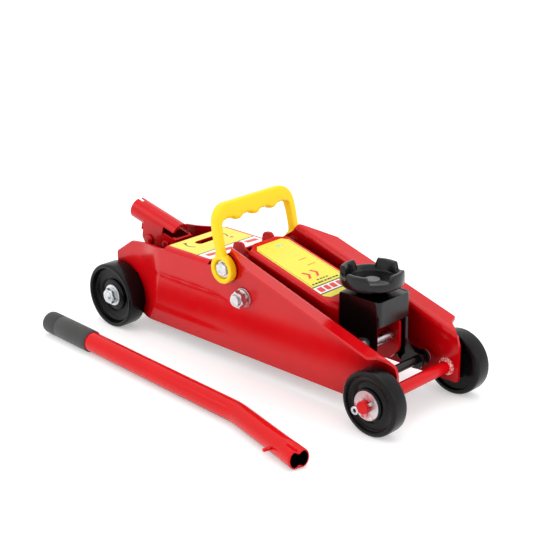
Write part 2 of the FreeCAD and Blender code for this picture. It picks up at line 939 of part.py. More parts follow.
def lift_arm():
    body = new_body("lift_arm")
    wall, inner, nose = d.arm_wall, d.arm_inner, d.arm_nose_face
    ear_rear = d.ear_x - d.ear_radius - 3
    for side in SIDES.values():
        plan = [
            (ear_rear, side * inner),
            (d.arm_break, side * inner),
            (d.arm_nose_start, side * (nose - wall)),
            (d.arm_nose_end, side * (nose - wall)),
            (d.arm_nose_end, side * nose),
            (d.arm_nose_start + 1, side * nose),
            (d.arm_break + 1, side * (inner + wall)),
            (ear_rear, side * (inner + wall)),
        ]
        body.AllowCompound = True
        pad(body, "XY_Plane", d.plate_floor, d.flange_top + 5, [plan])
    outline = arm_outline()
    around = box(ear_rear - 10, 0, d.arm_nose_end + 10, d.flange_top + 20)
    pocket(body, "XZ_Plane", -d.plate_face, d.plate_face, [around, outline])
    break_z = arm_line(d.arm_break)
    tip_x, tip_z = d.arm_nose_end - 18, d.head_pin_z + d.nose_half_height - 1
    strip = [
        (d.arm_rear, d.arm_top_z),
        (d.arm_break, break_z),
        (tip_x, tip_z),
        (tip_x, tip_z - wall),
        (d.arm_break, break_z - wall),
        (d.arm_rear, d.arm_top_z - wall),
    ]
    pad(body, "XZ_Plane", -inner, inner, [strip])
    for side in SIDES.values():
        taper = [
            (d.arm_break, side * (inner + wall + 1)),
            (d.arm_break + 1, side * (inner + wall)),
            (d.arm_nose_start + 1, side * nose),
            (d.arm_nose_end, side * nose),
            (d.arm_nose_end, side * (inner + wall + 1)),
        ]
        pocket(body, "XY_Plane", d.plate_floor, d.flange_top, [taper])
    for side in SIDES.values():
        clip = [
            (d.arm_rear - 1, side * (inner - d.arm_corner)),
            (d.arm_rear + d.arm_corner, side * inner),
            (d.arm_rear - 1, side * inner),
        ]
        pocket(body, "XY_Plane", d.arm_top_z - wall - 3, d.arm_top_z + 1, [clip])
    holes = [
        circle(d.pivot_x, d.pivot_z, d.pivot_radius + d.fit),
        circle(d.head_pin_x, d.head_pin_z, d.head_pin_radius + d.fit),
        circle(d.crank_x, d.crank_z, d.crank_pin_radius + d.fit),
    ]
    pocket(body, "XZ_Plane", -d.plate_face, d.plate_face, holes)
    return keep(body, "lift_arm")


def arm_outline():
    """Side view of the arm's walls, from the crank's lobe round to the ear."""
    lobe = d.crank_lobe
    low = d.head_pin_z - d.nose_half_height
    high = d.head_pin_z + d.nose_half_height
    side_step = lobe * 0.45
    return [
        (d.crank_x - lobe, d.crank_z + side_step),
        (d.crank_x - lobe, d.crank_z - side_step),
        (d.crank_x - side_step, d.crank_z - lobe),
        (d.crank_x + side_step, d.crank_z - lobe),
        (d.crank_x + lobe, d.crank_z - side_step),
        (d.pivot_x + 14, d.pivot_z - 22),
        (d.arm_break - 8, low + 14),
        (d.arm_nose_start + 12, low - 3),
        (d.arm_nose_end - 12, low),
        (d.arm_nose_end, low + 12),
        (d.arm_nose_end, high - 10),
        (d.arm_nose_end - 9, high - 1),
        (d.arm_nose_end - 18, high - 1),
        (d.arm_break, arm_line(d.arm_break)),
        (d.arm_rear + 6, arm_line(d.arm_rear + 6)),
        (d.ear_x + d.ear_radius - 2, d.ear_z + d.ear_radius - 3),
        (d.ear_x + 3, d.ear_z + d.ear_radius),
        (d.ear_x - 3, d.ear_z + d.ear_radius),
        (d.ear_x - d.ear_radius, d.ear_z + 3),
        (d.ear_x - d.ear_radius, d.ear_z - 6),
        (d.pivot_x - 17, d.pivot_z),
    ]


def arm_label():
    body = new_body("arm_label")
    lift = d.fit
    thick = d.label_thick
    start, stop, half = d.arm_label_start, d.arm_label_end, d.arm_label_half
    strip = [
        (start, arm_line(start) + lift),
        (stop, arm_line(stop) + lift),
        (stop, arm_line(stop) + lift + thick),
        (start, arm_line(start) + lift + thick),
    ]
    pad(body, "XZ_Plane", -half, half, [strip])
    for side in SIDES.values():
        for x, inward in ((start, 1), (stop, -1)):
            clip = [
                (x - inward, side * (half - d.arm_corner)),
                (x + inward * d.arm_corner, side * (half + 1)),
                (x - inward, side * (half + 1)),
            ]
            pocket(body, "XY_Plane", d.plate_floor, d.flange_top, [clip])
    return keep(body, "arm_label")


def cross_pin(label, x, z, radius, half):
    """A plain pin across the jack, as long on one side as on the other."""
    pin = doc.addObject("Part::Cylinder", "pin")
    bind(pin, "Radius", radius)
    bind(pin, "Height", half * 2)
    return keep(pin, label, x, -half, z, ALONG["y"])


# ---------------------------------------------------------------- saddle, bracket and tie links


def saddle_bracket():
    body = new_body("saddle_bracket")
    wall, face = d.bracket_wall, d.bracket_face
    rear, front, top = d.bracket_rear, d.bracket_front, d.bracket_top
    lobe = d.link_lobe
    outline = [
        (rear, top),
        (rear, d.head_pin_z + 10),
        (d.head_pin_x - 12, d.head_pin_z - 14),
        (d.link_x - lobe * 1.2, d.link_z - lobe),
        (d.link_x + lobe * 0.4, d.link_z - lobe),
        (d.link_x + lobe, d.link_z - lobe * 0.4),
        (d.link_x + lobe, d.link_z + lobe * 0.5),
        (front, d.head_pin_z + 4),
        (front, top),
    ]
    pad(body, "XZ_Plane", -face, face, [outline])
    hollow = [
        (rear - 1, top - wall),
        (rear - 1, 0),
        (d.link_x + lobe + 1, 0),
        (d.link_x + lobe + 1, d.window_top),
        (front - wall, d.window_top),
        (front - wall, top - wall),
    ]
    pocket(body, "XZ_Plane", wall - face, face - wall, [hollow])
    corners = []
    for side in SIDES.values():
        corners.append((None, side * face, top))
    fillet(body, wall, lambda e: runs_along(e, Vector(1, 0, 0)) and near(e, *corners))
    fillet(body, wall / 1.5, lambda e: front_edge(e, front, face))
    holes = [
        circle(d.head_pin_x, d.head_pin_z, d.head_pin_radius + d.fit),
        circle(d.link_x, d.link_z, d.link_pin_radius + d.fit),
    ]
    pocket(body, "XZ_Plane", -face - 1, face + 1, holes)
    pocket(body, "XY_Plane", top - wall - 1, top + 1, [circle(d.saddle_x, ZERO, d.saddle_post + d.fit)])
    return keep(body, "saddle_bracket")


def front_edge(edge, x, face):
    """The bracket's two upright outer corners at the front."""
    if not runs_along(edge, Vector(0, 0, 1)):
        return False
    return near(edge, (x, face, None), (x, -face, None))


def saddle():
    """A cast cup with a conical underside, four lugs on its rim and a post that turns in the bracket."""
    body = new_body("saddle")
    foot_z = d.bracket_top + d.gap
    rim, wall = d.saddle_radius, d.saddle_wall
    top = d.saddle_rim + d.saddle_lug
    profile = [
        (ZERO, d.bracket_top - d.bracket_wall - 4),
        (d.saddle_post, d.bracket_top - d.bracket_wall - 4),
        (d.saddle_post, foot_z),
        (d.saddle_foot, foot_z),
        (d.saddle_foot + 3, foot_z + 2.5),
        (rim - 1, d.saddle_neck),
        (rim, d.saddle_neck + 2),
        (rim, top),
        (rim - wall, top),
        (rim - wall - 2, d.saddle_floor),
        (d.saddle_button, d.saddle_floor),
        (d.saddle_button, d.saddle_floor + 1),
        (ZERO, d.saddle_floor + 1),
    ]
    revolve(body, "XZ_Plane", "Z_Axis", [profile])
    for step in range(4):
        turn = 90.0 * step + 45.0
        pocket(body, "XY_Plane", d.saddle_rim, top + 1, [lug_gap(turn)])
    return keep(body, "saddle", x=d.saddle_x, rotation=Rotation(Vector(0, 0, 1), d.saddle_turn.value))


def lug_gap(turn):
    """A wedge from the saddle's middle out past its rim, between two lugs."""
    half = (as_dim(90) - d.saddle_lug_angle) / 2
    reach = d.saddle_radius * 1.3
    inner = d.saddle_radius - d.saddle_wall * 2
    points = []
    for distance, swing in ((inner, -half), (reach, -half), (reach, half), (inner, half)):
        angle = as_dim(turn) + swing
        points.append((distance * cosine(angle), distance * sine(angle)))
    return points


def saddle_ring():
    start = (d.saddle_x, ZERO, d.bracket_top - d.bracket_wall - 2.4)
    clip = ring("z", start, d.saddle_post + 3, d.saddle_post + d.fit, as_dim(2.2))
    return keep(clip, "saddle_ring")


def pin_clips(label, x, z, radius, near_y):
    clips = []
    for side in SIDES.values():
        thick = as_dim(1.2)
        start = on_side(side, near_y, thick)
        clips.append(ring("y", (x, start, z), radius + 3, radius + d.fit, thick))
    return keep(group(clips), label)


def tie_link(name, side):
    """A flat bar with an eye at each end, parallel to the line between the arm's two pivots."""
    stud_x = d.pivot_x + d.link_x - d.head_pin_x
    stud_z = d.pivot_z + d.link_z - d.head_pin_z
    span_x, span_z = d.link_x - stud_x, d.link_z - stud_z
    length = math.hypot(span_x.value, span_z.value)
    tilt = math.degrees(math.atan2(-span_z.value, span_x.value))
    body = new_body(name)
    low = d.tie_inner if side > 0 else -(d.tie_inner + d.tie_thick)
    high = low + d.tie_thick
    eye, half = d.tie_eye, d.tie_half_width
    pad(body, "XZ_Plane", low, high, [box(ZERO, -half, length, half)])
    pad(body, "XZ_Plane", low, high, [circle(ZERO, ZERO, eye)])
    pad(body, "XZ_Plane", low, high, [circle(length, ZERO, eye)])
    hole = d.link_pin_radius + d.fit
    pocket(body, "XZ_Plane", low - 1, high + 1, [circle(ZERO, ZERO, hole), circle(length, ZERO, hole)])
    return keep(body, name, x=stud_x, z=stud_z, rotation=Rotation(Vector(0, 1, 0), tilt))


def tie_studs():
    """Short studs welded inside the side plates, on which the tie links turn."""
    studs = []
    for side in SIDES.values():
        near_y = d.tie_inner - d.side_play
        length = d.plate_face - d.plate_thick - d.fit - near_y
        x = d.pivot_x + d.link_x - d.head_pin_x
        z = d.pivot_z + d.link_z - d.head_pin_z
        stud = rod("y", (x, on_side(side, near_y, length), z), d.link_pin_radius, length)
        collar_y = d.tie_inner + d.tie_thick + 0.5
        collar_length = d.plate_face - d.plate_thick - d.fit - collar_y
        collar = rod("y", (x, on_side(side, collar_y, collar_length), z), d.tie_eye, collar_length)
        studs.append(join([stud, collar]))
    return keep(group(studs), "tie_studs")


# ---------------------------------------------------------------- hydraulic unit


def hydraulic_block():
    body = new_body("hydraulic_block")
    half = d.block_half
    pad(body, "XY_Plane", d.block_floor, d.block_top,
        [box(d.block_rear, -half, d.block_front, half)])
    plate = d.plate_face_rear - d.plate_thick - d.fit
    pad(body, "XY_Plane", d.block_floor, d.foot_top, [box(d.foot_start, -plate, d.foot_end, plate)])
    plunger_x = d.socket_x - d.pump_arm
    pad(body, "XY_Plane", d.block_floor, d.pump_top, [circle(plunger_x, ZERO, d.pump_boss)])
    eye = d.post_eye
    post = [
        (d.socket_x - eye, d.block_top - 1),
        (d.socket_x + eye, d.block_top - 1),
        (d.socket_x + eye, d.socket_z),
        (d.socket_x - eye, d.socket_z),
    ]
    pad(body, "XZ_Plane", -d.post_half, d.post_half, [post])
    pad(body, "XZ_Plane", -d.post_half, d.post_half, [circle(d.socket_x, d.socket_z, eye)])
    pocket(body, "XZ_Plane", -half, half,
           [circle(d.socket_x, d.socket_z, d.socket_pin_radius + d.fit)])
    pocket(body, "XY_Plane", d.plunger_floor - 1, d.pump_top + 1,
           [circle(plunger_x, ZERO, d.plunger_radius + d.fit)])
    pocket(body, "YZ_Plane", d.block_rear - 1, d.block_rear + 16,
           [circle(d.valve_y, d.valve_z, d.valve_radius + d.fit)])
    pocket(body, "XZ_Plane", -plate - 1, plate + 1, [
        circle(d.screw_x, d.screw_low_z, d.screw_radius / 2 + d.fit),
        circle(d.screw_x, d.screw_high_z, d.screw_radius / 2 + d.fit),
    ])
    pocket(body, "XY_Plane", d.block_top - 8, d.block_top + 1,
           [circle(d.cap_x, d.cap_y, d.cap_radius - 2 + d.fit)])
    return keep(body, "hydraulic_block")


def block_screws():
    """Flush screws that hold the block's feet to the side plates."""
    screws = []
    for side in SIDES.values():
        for z in (d.screw_low_z, d.screw_high_z):
            head_y = d.plate_face_rear - d.plate_thick
            thick = d.plate_thick - d.gap
            head = rod("y", (d.screw_x, on_side(side, head_y, thick), z), d.screw_radius, thick)
            deep = as_dim(12)
            shank_y = head_y - deep
            shank = rod("y", (d.screw_x, on_side(side, shank_y, deep), z), d.screw_radius / 2, deep)
            screws.append(join([head, shank]))
    return keep(group(screws), "block_screws")


def ram_cylinder():
    start = (d.block_front + d.gap, ZERO, d.ram_z)
    length = d.cylinder_end - d.block_front - d.gap
    tube = cut(
        rod("x", start, d.cylinder_radius, length),
        rod("x", (d.block_front + 6, ZERO, d.ram_z), d.cylinder_bore, length),
    )
    return keep(tube, "ram_cylinder")


def gland_nut():
    start = (d.cylinder_end + d.gap, ZERO, d.ram_z)
    length = d.gland_end - d.cylinder_end - d.gap
    return keep(ring("x", start, d.cylinder_radius - 1, d.ram_radius + d.fit, length), "gland_nut")


def ram():
    rod_length = d.ram_end - d.piston_start
    shaft = rod("x", (d.piston_start, ZERO, d.ram_z), d.ram_radius, rod_length)
    piston = rod("x", (d.piston_start, ZERO, d.ram_z), d.cylinder_bore - d.fit,
                 d.piston_end - d.piston_start)
    return keep(join([shaft, piston]), "ram")


def ram_head():
    """A crosshead whose upright slot takes the crank pin."""
    body = new_body("ram_head")
    half = d.head_height / 2
    pad(body, "XZ_Plane", -d.head_half, d.head_half,
        [box(d.ram_end + d.gap, d.ram_z - half, d.head_end, d.ram_z + half)])
    wide = d.crank_pin_radius + d.slot_play
    low, high = d.ram_z - d.slot_rise / 2, d.ram_z + d.slot_rise / 2
    pocket(body, "XZ_Plane", -d.head_half - 1, d.head_half + 1,
           [box(d.crank_x - wide, low - wide, d.crank_x + wide, high + wide)])
    return keep(body, "ram_head")


def oil_tank():
    body = new_body("oil_tank")
    pad(body, "XY_Plane", d.tank_floor, d.tank_top,
        [box(d.tank_start, -d.block_half, d.tank_end, d.block_half)])
    fillet(body, as_dim(8), lambda e: runs_along(e, Vector(0, 0, 1)))
    fillet(body, as_dim(3), lambda e: near(e, (None, None, d.tank_top)) and abs(e.Length) > 1)
    pocket(body, "XY_Plane", d.tank_top - 8, d.tank_top + 1,
           [circle(d.filler_x, ZERO, d.filler_radius - 1.5 + d.fit)])
    return keep(body, "oil_tank")


def plug(label, x, y, seat, radius, top):
    """A round-headed plug with a short stem in its hole."""
    stem = rod("z", (x, y, seat - 7), radius, as_dim(7) + d.gap)
    head = rod("z", (x, y, seat + d.gap), radius + 1.6, top - seat - d.gap)
    return keep(join([stem, head]), label)


def release_valve():
    """A valve screw with a flat key at its end, that the bar's pinched end turns."""
    body = new_body("release_valve")
    stem_start = d.block_rear + 14
    pad(body, "YZ_Plane", d.valve_end + 9, stem_start, [circle(ZERO, ZERO, d.valve_radius)])
    pad(body, "YZ_Plane", d.valve_end, d.valve_end + 9,
        [box(-d.valve_radius, -d.valve_key, d.valve_radius, d.valve_key)])
    return keep(body, "release_valve", y=d.valve_y, z=d.valve_z)


def helix_spring(radius, wire, pitch, turns):
    coil = doc.addObject("Part::Helix", "coil")
    bind(coil, "Radius", radius)
    bind(coil, "Pitch", pitch)
    bind(coil, "Height", pitch * turns)
    section = doc.addObject("Part::Circle", "wire")
    bind(section, "Radius", wire)
    put(section, radius, ZERO, ZERO, rotation=Rotation(Vector(1, 0, 0), 90))
    sweep = doc.addObject("Part::Sweep", "spring")
    sweep.Sections = [section]
    sweep.Spine = (coil, ["Edge1"])
    sweep.Solid = True
    sweep.Frenet = True
    return sweep


def return_springs():
    springs = []
    for side in SIDES.values():
        length = d.crank_x - d.crank_pin_radius - 1 - d.spring_start
        coil = helix_spring(d.spring_radius, d.spring_wire, length / d.spring_turns, d.spring_turns)
        put(coil, d.spring_start, side * d.spring_y, d.crank_z, rotation=ALONG["x"])
        springs.append(coil)
    return keep(group(springs), "return_springs")


# ---------------------------------------------------------------- pump handle socket and plunger


def handle_socket():
    """A tube with two cheeks under it, drawn along its own axis from the pivot screw."""
    body = new_body("handle_socket")
    axis, outer, bore = d.socket_axis, d.socket_radius, d.socket_bore
    pad(body, "YZ_Plane", d.socket_mouth, d.socket_end, [circle(ZERO, axis, outer)])
    cheek = [
        (d.cheek_rear, axis),
        (d.cheek_rear + 1, d.cheek_low + 8),
        (d.cheek_rear + 8, d.cheek_low),
        (d.cheek_rear + 20, d.cheek_low),
        (-d.plunger_eye - 3, d.cheek_low + 6),
        (d.plunger_eye + 3, d.cheek_low + 7),
        (d.cheek_front, 2),
        (d.cheek_front, axis - 2),
        (d.socket_end, axis),
    ]
    pad(body, "XZ_Plane", -outer, outer, [cheek])
    pocket(body, "YZ_Plane", d.socket_mouth - 1, d.window_rear, [circle(ZERO, axis, bore)])
    pocket(body, "YZ_Plane", d.window_rear, d.socket_end + 1, [circle(ZERO, axis, d.socket_seat)])
    inside = d.cheek_front - d.socket_tab
    pocket(body, "XZ_Plane", -bore, bore,
           [box(d.cheek_rear - 1, d.cheek_low - 1, inside, axis - outer)])
    pocket(body, "XY_Plane", axis - outer - 1, axis,
           [box(-d.post_eye - 4, -d.post_half - 1, inside, d.post_half + 1)])
    pocket(body, "XY_Plane", axis, axis + outer + 1,
           [box(d.socket_mouth - 1, -d.notch_half, d.socket_mouth + d.notch_long, d.notch_half)])
    window = box(d.window_rear, d.window_low, d.socket_end + 1, d.window_high)
    pocket(body, "XZ_Plane", -outer - 1, outer + 1, [window])
    pocket(body, "XZ_Plane", -outer - 1, outer + 1, [circle(ZERO, ZERO, d.socket_pin_radius + d.fit)])
    pin_x = -d.pump_arm * cosine(d.socket_tilt)
    pin_z = -d.pump_arm * sine(d.socket_tilt)
    far_x = -(d.pump_arm + d.slot_reach) * cosine(d.socket_tilt)
    far_z = -(d.pump_arm + d.slot_reach) * sine(d.socket_tilt)
    wide = d.plunger_pin_radius + d.slot_play
    across_x, across_z = wide * sine(d.socket_tilt), wide * cosine(d.socket_tilt)
    slot = [
        (pin_x - across_x, pin_z + across_z),
        (far_x - across_x, far_z + across_z),
        (far_x + across_x, far_z - across_z),
        (pin_x + across_x, pin_z - across_z),
    ]
    pocket(body, "XZ_Plane", -outer - 1, outer + 1, [slot])
    for x, z in ((pin_x, pin_z), (far_x, far_z)):
        pocket(body, "XZ_Plane", -outer - 1, outer + 1, [circle(x, z, wide)])
    return keep(body, "handle_socket", x=d.socket_x, z=d.socket_z,
                rotation=Rotation(Vector(0, 1, 0), d.socket_tilt.value))


def lock_screw():
    """A small screw under the socket's mouth that grips the bar."""
    local = Rotation(Vector(0, 1, 0), d.socket_tilt.value)
    low, high = d.socket_axis - d.socket_radius - 9, d.socket_axis - d.socket_radius - d.fit
    screw = rod("z", (d.lock_x, ZERO, low), d.lock_radius, high - low)
    return keep(group([screw]), "lock_screw", x=d.socket_x, z=d.socket_z, rotation=local)


def headed_pin(label, x, z, radius, head, far_y):
    """A pin across the socket's cheeks with a round head outside each cheek."""
    near_y = d.socket_radius + 0.25
    shaft = rod("y", (x, -near_y, z), radius, near_y * 2)
    shapes = [shaft]
    for side in SIDES.values():
        start = on_side(side, near_y, far_y - near_y)
        shapes.append(rod("y", (x, start, z), head, far_y - near_y))
    return keep(join(shapes), label)


def pump_plunger():
    body = new_body("pump_plunger")
    eye = d.plunger_eye
    pad(body, "XY_Plane", d.plunger_floor, d.socket_z - eye / 2, [circle(ZERO, ZERO, d.plunger_radius)])
    pad(body, "XZ_Plane", -d.plunger_half, d.plunger_half, [circle(ZERO, d.socket_z, eye)])
    pocket(body, "XZ_Plane", -d.plunger_half - 1, d.plunger_half + 1,
           [circle(ZERO, d.socket_z, d.plunger_pin_radius + d.fit)])
    return keep(body, "pump_plunger", x=d.socket_x - d.pump_arm)


def plunger_spring():
    turns = d.plunger_spring_turns
    top = d.socket_z - d.plunger_eye - d.spring_wire - 0.3
    low = d.pump_top + d.spring_wire + 0.2
    coil = helix_spring(d.plunger_radius + d.plunger_spring_play, d.spring_wire, (top - low) / turns, turns)
    put(coil, z=low)
    return keep(group([coil]), "plunger_spring", x=d.socket_x - d.pump_arm)


# ---------------------------------------------------------------- carry handle


def carry_handle():
    """A moulded bail that swings on two shoulder bolts; drawn about their line, then leaned back."""
    body = new_body("carry_handle")
    deep = d.leg_deep / 2
    outer, inner = d.leg_outer, d.leg_inner
    corner = d.grip_corner
    outline = [
        (-outer, ZERO),
        (-inner, ZERO),
        (-inner, d.grip_under - corner / 3),
        (corner / 3 - inner, d.grip_under),
        (inner - corner / 3, d.grip_under),
        (inner, d.grip_under - corner / 3),
        (inner, ZERO),
        (outer, ZERO),
        (outer - 1.5, d.grip_top - corner),
        (outer - corner / 2 - 1, d.grip_top - corner / 4),
        (outer - corner - 1, d.grip_top),
        (corner - outer + 1, d.grip_top),
        (corner / 2 - outer + 1, d.grip_top - corner / 4),
        (1.5 - outer, d.grip_top - corner),
    ]
    pad(body, "YZ_Plane", -deep, deep, [outline])
    for step in range(4):
        y = (as_dim(step) - 1.5) * d.scallop_pitch
        reach = d.scallop_pitch * 0.62
        pocket(body, "YZ_Plane", -deep - 1, deep + 1,
               [circle(y, d.grip_under + d.scallop_depth - reach, reach)])
    for side in SIDES.values():
        low = d.boss_inner if side > 0 else -d.boss_outer
        high = d.boss_outer if side > 0 else -d.boss_inner
        pad(body, "XZ_Plane", low, high, [circle(ZERO, ZERO, d.boss_radius)])
        mouth = d.boss_outer - d.recess_depth if side > 0 else -d.boss_outer - 1
        pocket(body, "XZ_Plane", mouth, mouth + d.recess_depth + 1,
               [circle(ZERO, ZERO, d.boss_recess)])
    pocket(body, "XZ_Plane", -d.boss_outer, d.boss_outer,
           [circle(ZERO, ZERO, d.handle_bolt_radius + d.fit * 1.6)])
    return keep(body, "carry_handle", x=d.handle_x, z=d.handle_z,
                rotation=Rotation(Vector(0, 1, 0), d.handle_lean.value))


def handle_bolts():
    """Shoulder bolts through the handle's bosses and the plates, with a washer face under the head."""
    bolts = []
    for side in SIDES.values():
        seat = d.boss_outer - d.recess_depth + 0.2
        thin, tall = d.handle_washer_thick, d.handle_head_thick
        washer = rod("y", (d.handle_x, on_side(side, seat, thin), d.handle_z), d.handle_washer_radius,
                     thin)
        head = hexagon((d.handle_x, on_side(side, seat + thin, tall), d.handle_z),
                       d.handle_head_flats, tall)
        inner = d.plate_face - d.plate_thick - 8
        length = seat - inner
        shank = rod("y", (d.handle_x, on_side(side, inner, length), d.handle_z),
                    d.handle_bolt_radius, length)
        bolts.append(join([washer, head, shank]))
    return keep(group(bolts), "handle_bolts")


def handle_nuts():
    nuts = []
    for side in SIDES.values():
        thick = d.handle_nut_thick
        inner = d.plate_face - d.plate_thick - d.fit - thick
        start = on_side(side, inner, thick)
        nut = hexagon((d.handle_x, start, d.handle_z), d.handle_nut_flats, thick)
        nuts.append(cut(nut, rod("y", (d.handle_x, start, d.handle_z), d.handle_bolt_radius + d.fit,
                                 thick)))
    return keep(group(nuts), "handle_nuts")


# ---------------------------------------------------------------- loose pump bar


def bar_turn():
    return Rotation(d.bar_yaw.value, d.bar_pitch.value, 0)


def bar_points():
    """The bar's centre line from the grip: a straight run, one bend, a shorter straight run."""
    turn = d.bar_bend
    start = Vector(d.grip_cap.value + d.gap.value, 0, 0)
    bend_start = Vector(d.bar_straight.value, 0, 0)
    radius = d.bar_bend_radius.value
    angle = math.radians(turn.value)
    half = angle / 2
    centre = Vector(bend_start.x, -radius, 0)
    bend_middle = centre + Vector(radius * math.sin(half), radius * math.cos(half), 0)
    bend_stop = centre + Vector(radius * math.sin(angle), radius * math.cos(angle), 0)
    ahead = Vector(math.cos(angle), -math.sin(angle), 0)
    stop = bend_stop + ahead * d.bar_tail.value
    return start, bend_start, bend_middle, bend_stop, stop, ahead


def pump_bar():
    start, bend_start, bend_middle, bend_stop, stop, _ = bar_points()
    body = new_body("pump_bar")
    path = body.newObject("Sketcher::SketchObject", "path")
    path.AttachmentSupport = (plane(body, "XY_Plane"), [""])
    path.MapMode = "FlatFace"
    path.addGeometry(Part.LineSegment(start, bend_start))
    path.addGeometry(Part.Arc(bend_start, bend_middle, bend_stop))
    path.addGeometry(Part.LineSegment(bend_stop, stop))
    for edge in range(3):
        path.addConstraint(Sketcher.Constraint("Block", edge))
    section = new_sketch(body, "YZ_Plane", d.grip_cap + d.gap, [
        circle(ZERO, ZERO, d.bar_radius),
        circle(ZERO, ZERO, d.bar_radius - d.bar_wall),
    ])
    pipe = body.newObject("PartDesign::AdditivePipe", "bar_pipe")
    pipe.Profile = section
    pipe.Spine = (path, ["Edge1", "Edge2", "Edge3"])
    doc.recompute()
    return keep(body, "pump_bar", x=d.bar_x, y=d.bar_y, z=d.bar_height, rotation=bar_turn())


def bar_grip():
    body = new_body("bar_grip")
    bore = d.bar_radius + d.fit
    profile = [
        (ZERO, ZERO),
        (ZERO, d.grip_radius),
        (d.grip_length, d.grip_radius),
        (d.grip_length, bore),
        (d.grip_cap, bore),
        (d.grip_cap, ZERO),
    ]
    revolve(body, "XY_Plane", "X_Axis", [profile])
    end = d.grip_radius.value

    def is_end_edge(edge):
        if edge.Curve.TypeId != "Part::GeomCircle":
            return False
        return abs(edge.Curve.Radius - end) < 0.01 and edge.CenterOfMass.x < 1

    fillet(body, d.grip_round, is_end_edge)
    return keep(body, "bar_grip", x=d.bar_x, y=d.bar_y, z=d.bar_height, rotation=bar_turn())


def bar_pin():
    """A small pin that sticks out of the bar near its open end and locks in the socket's notch."""
    _, _, _, _, stop, ahead = bar_points()
    aside = Vector(ahead.y, -ahead.x, 0)
    foot = stop - ahead * d.bar_pin_back.value + aside * (d.bar_radius.value + d.fit.value)
    length = d.bar_pin_reach - d.bar_radius
    pin = doc.addObject("Part::Feature", "bar_pin_rod")
    pin.Shape = Part.makeCylinder(d.bar_pin_radius.value, length.value, foot, aside)
    return keep(pin, "bar_pin", x=d.bar_x, y=d.bar_y, z=d.bar_height, rotation=bar_turn())


# ---------------------------------------------------------------- the assembly


def build():
    for name, side in SIDES.items():
        side_plate(f"side_plate_{name}", side)
        wheel(f"front_wheel_{name}", side, True)
        wheel(f"rear_wheel_{name}", side, False)
        tie_link(f"tie_link_{name}", side)
    front_axle()
    axle_welds()
    front_wheel_washers()
    front_split_pins()
    rear_wheel_washers()
    rear_wheel_bolts()
    rear_wheel_nuts()
    rear_cover()
    cover_label()
    cross_pin("arm_pivot_shaft", d.pivot_x, d.pivot_z, d.pivot_radius, d.pivot_half)
    arm_pivot_nuts()
    pivot_rings("arm_pivot_spring_washers", [d.plate_face + d.pivot_spring_washer_gap],
                d.pivot_spring_washer_radius, d.pivot_spring_washer_thick)
    pivot_rings("arm_pivot_washers", [d.plate_face + d.fit], d.pivot_washer_radius,
                d.pivot_washer_thick)
    spacer_start = d.arm_inner + d.arm_wall + d.side_play
    spacer_length = d.plate_face - d.plate_thick - d.fit - spacer_start
    pivot_rings("arm_pivot_spacers", [spacer_start], d.pivot_spacer_radius, spacer_length)
    lift_arm()
    arm_label()
    cross_pin("crank_pin", d.crank_x, d.crank_z, d.crank_pin_radius, d.arm_inner + d.arm_wall)
    saddle_bracket()
    cross_pin("bracket_pin", d.head_pin_x, d.head_pin_z, d.head_pin_radius, d.head_pin_half)
    pin_clips("bracket_pin_clips", d.head_pin_x, d.head_pin_z, d.head_pin_radius,
              d.bracket_face + d.side_play)
    cross_pin("link_pin", d.link_x, d.link_z, d.link_pin_radius, d.link_pin_half)
    pin_clips("link_pin_clips", d.link_x, d.link_z, d.link_pin_radius,
              d.tie_inner + d.tie_thick + d.side_play)
    saddle()
    saddle_ring()
    tie_studs()
    hydraulic_block()
    block_screws()
    ram_cylinder()
    gland_nut()
    ram()
    ram_head()
    oil_tank()
    plug("filler_plug", d.filler_x, ZERO, d.tank_top, d.filler_radius - 1.5, d.filler_top)
    plug("pump_cap", d.cap_x, d.cap_y, d.block_top, d.cap_radius - 2, d.cap_top)
    release_valve()
    return_springs()
    handle_socket()
    lock_screw()
    headed_pin("socket_pivot_screw", d.socket_x, d.socket_z, d.socket_pin_radius,
               d.socket_pin_radius + 1.4, d.socket_radius + 2.4)
    headed_pin("plunger_pin", d.socket_x - d.pump_arm, d.socket_z, d.plunger_pin_radius,
               d.plunger_pin_radius + 3, d.socket_radius + 3)
    pump_plunger()
    plunger_spring()
    carry_handle()
    handle_bolts()
    handle_nuts()
    pump_bar()
    bar_grip()
    bar_pin()


def check_and_export():
    doc.recompute()
    faults = []
    for thing in doc.Objects:
        if "Invalid" in thing.State or "Error" in thing.State:
            faults.append(f"{thing.Name} ({thing.Label}): {thing.State}")
    for piece in pieces:
        if piece.Shape.isNull() or not piece.Shape.isValid() or piece.Shape.Volume <= 0:
            faults.append(f"{piece.Label}: its shape is not a sound solid")
    if faults:
        raise ValueError("; ".join(faults))
    whole = FreeCAD.BoundBox()
    for piece in pieces:
        piece.Shape.exportStep(f"parts/{piece.Label}.step")
        whole.add(piece.Shape.optimalBoundingBox())
    print(f"{len(pieces)} pieces; X {whole.XMin:.2f} {whole.XMax:.2f}, "
          f"Y {whole.YMin:.2f} {whole.YMax:.2f}, Z {whole.ZMin:.2f} {whole.ZMax:.2f}")


build()
check_and_export()
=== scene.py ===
"""Looks for a small trolley jack and its loose pump bar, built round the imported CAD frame."""

import json
import math

import bmesh
import bpy
from mathutils import Euler, Matrix, Vector
from mathutils.geometry import delaunay_2d_cdt


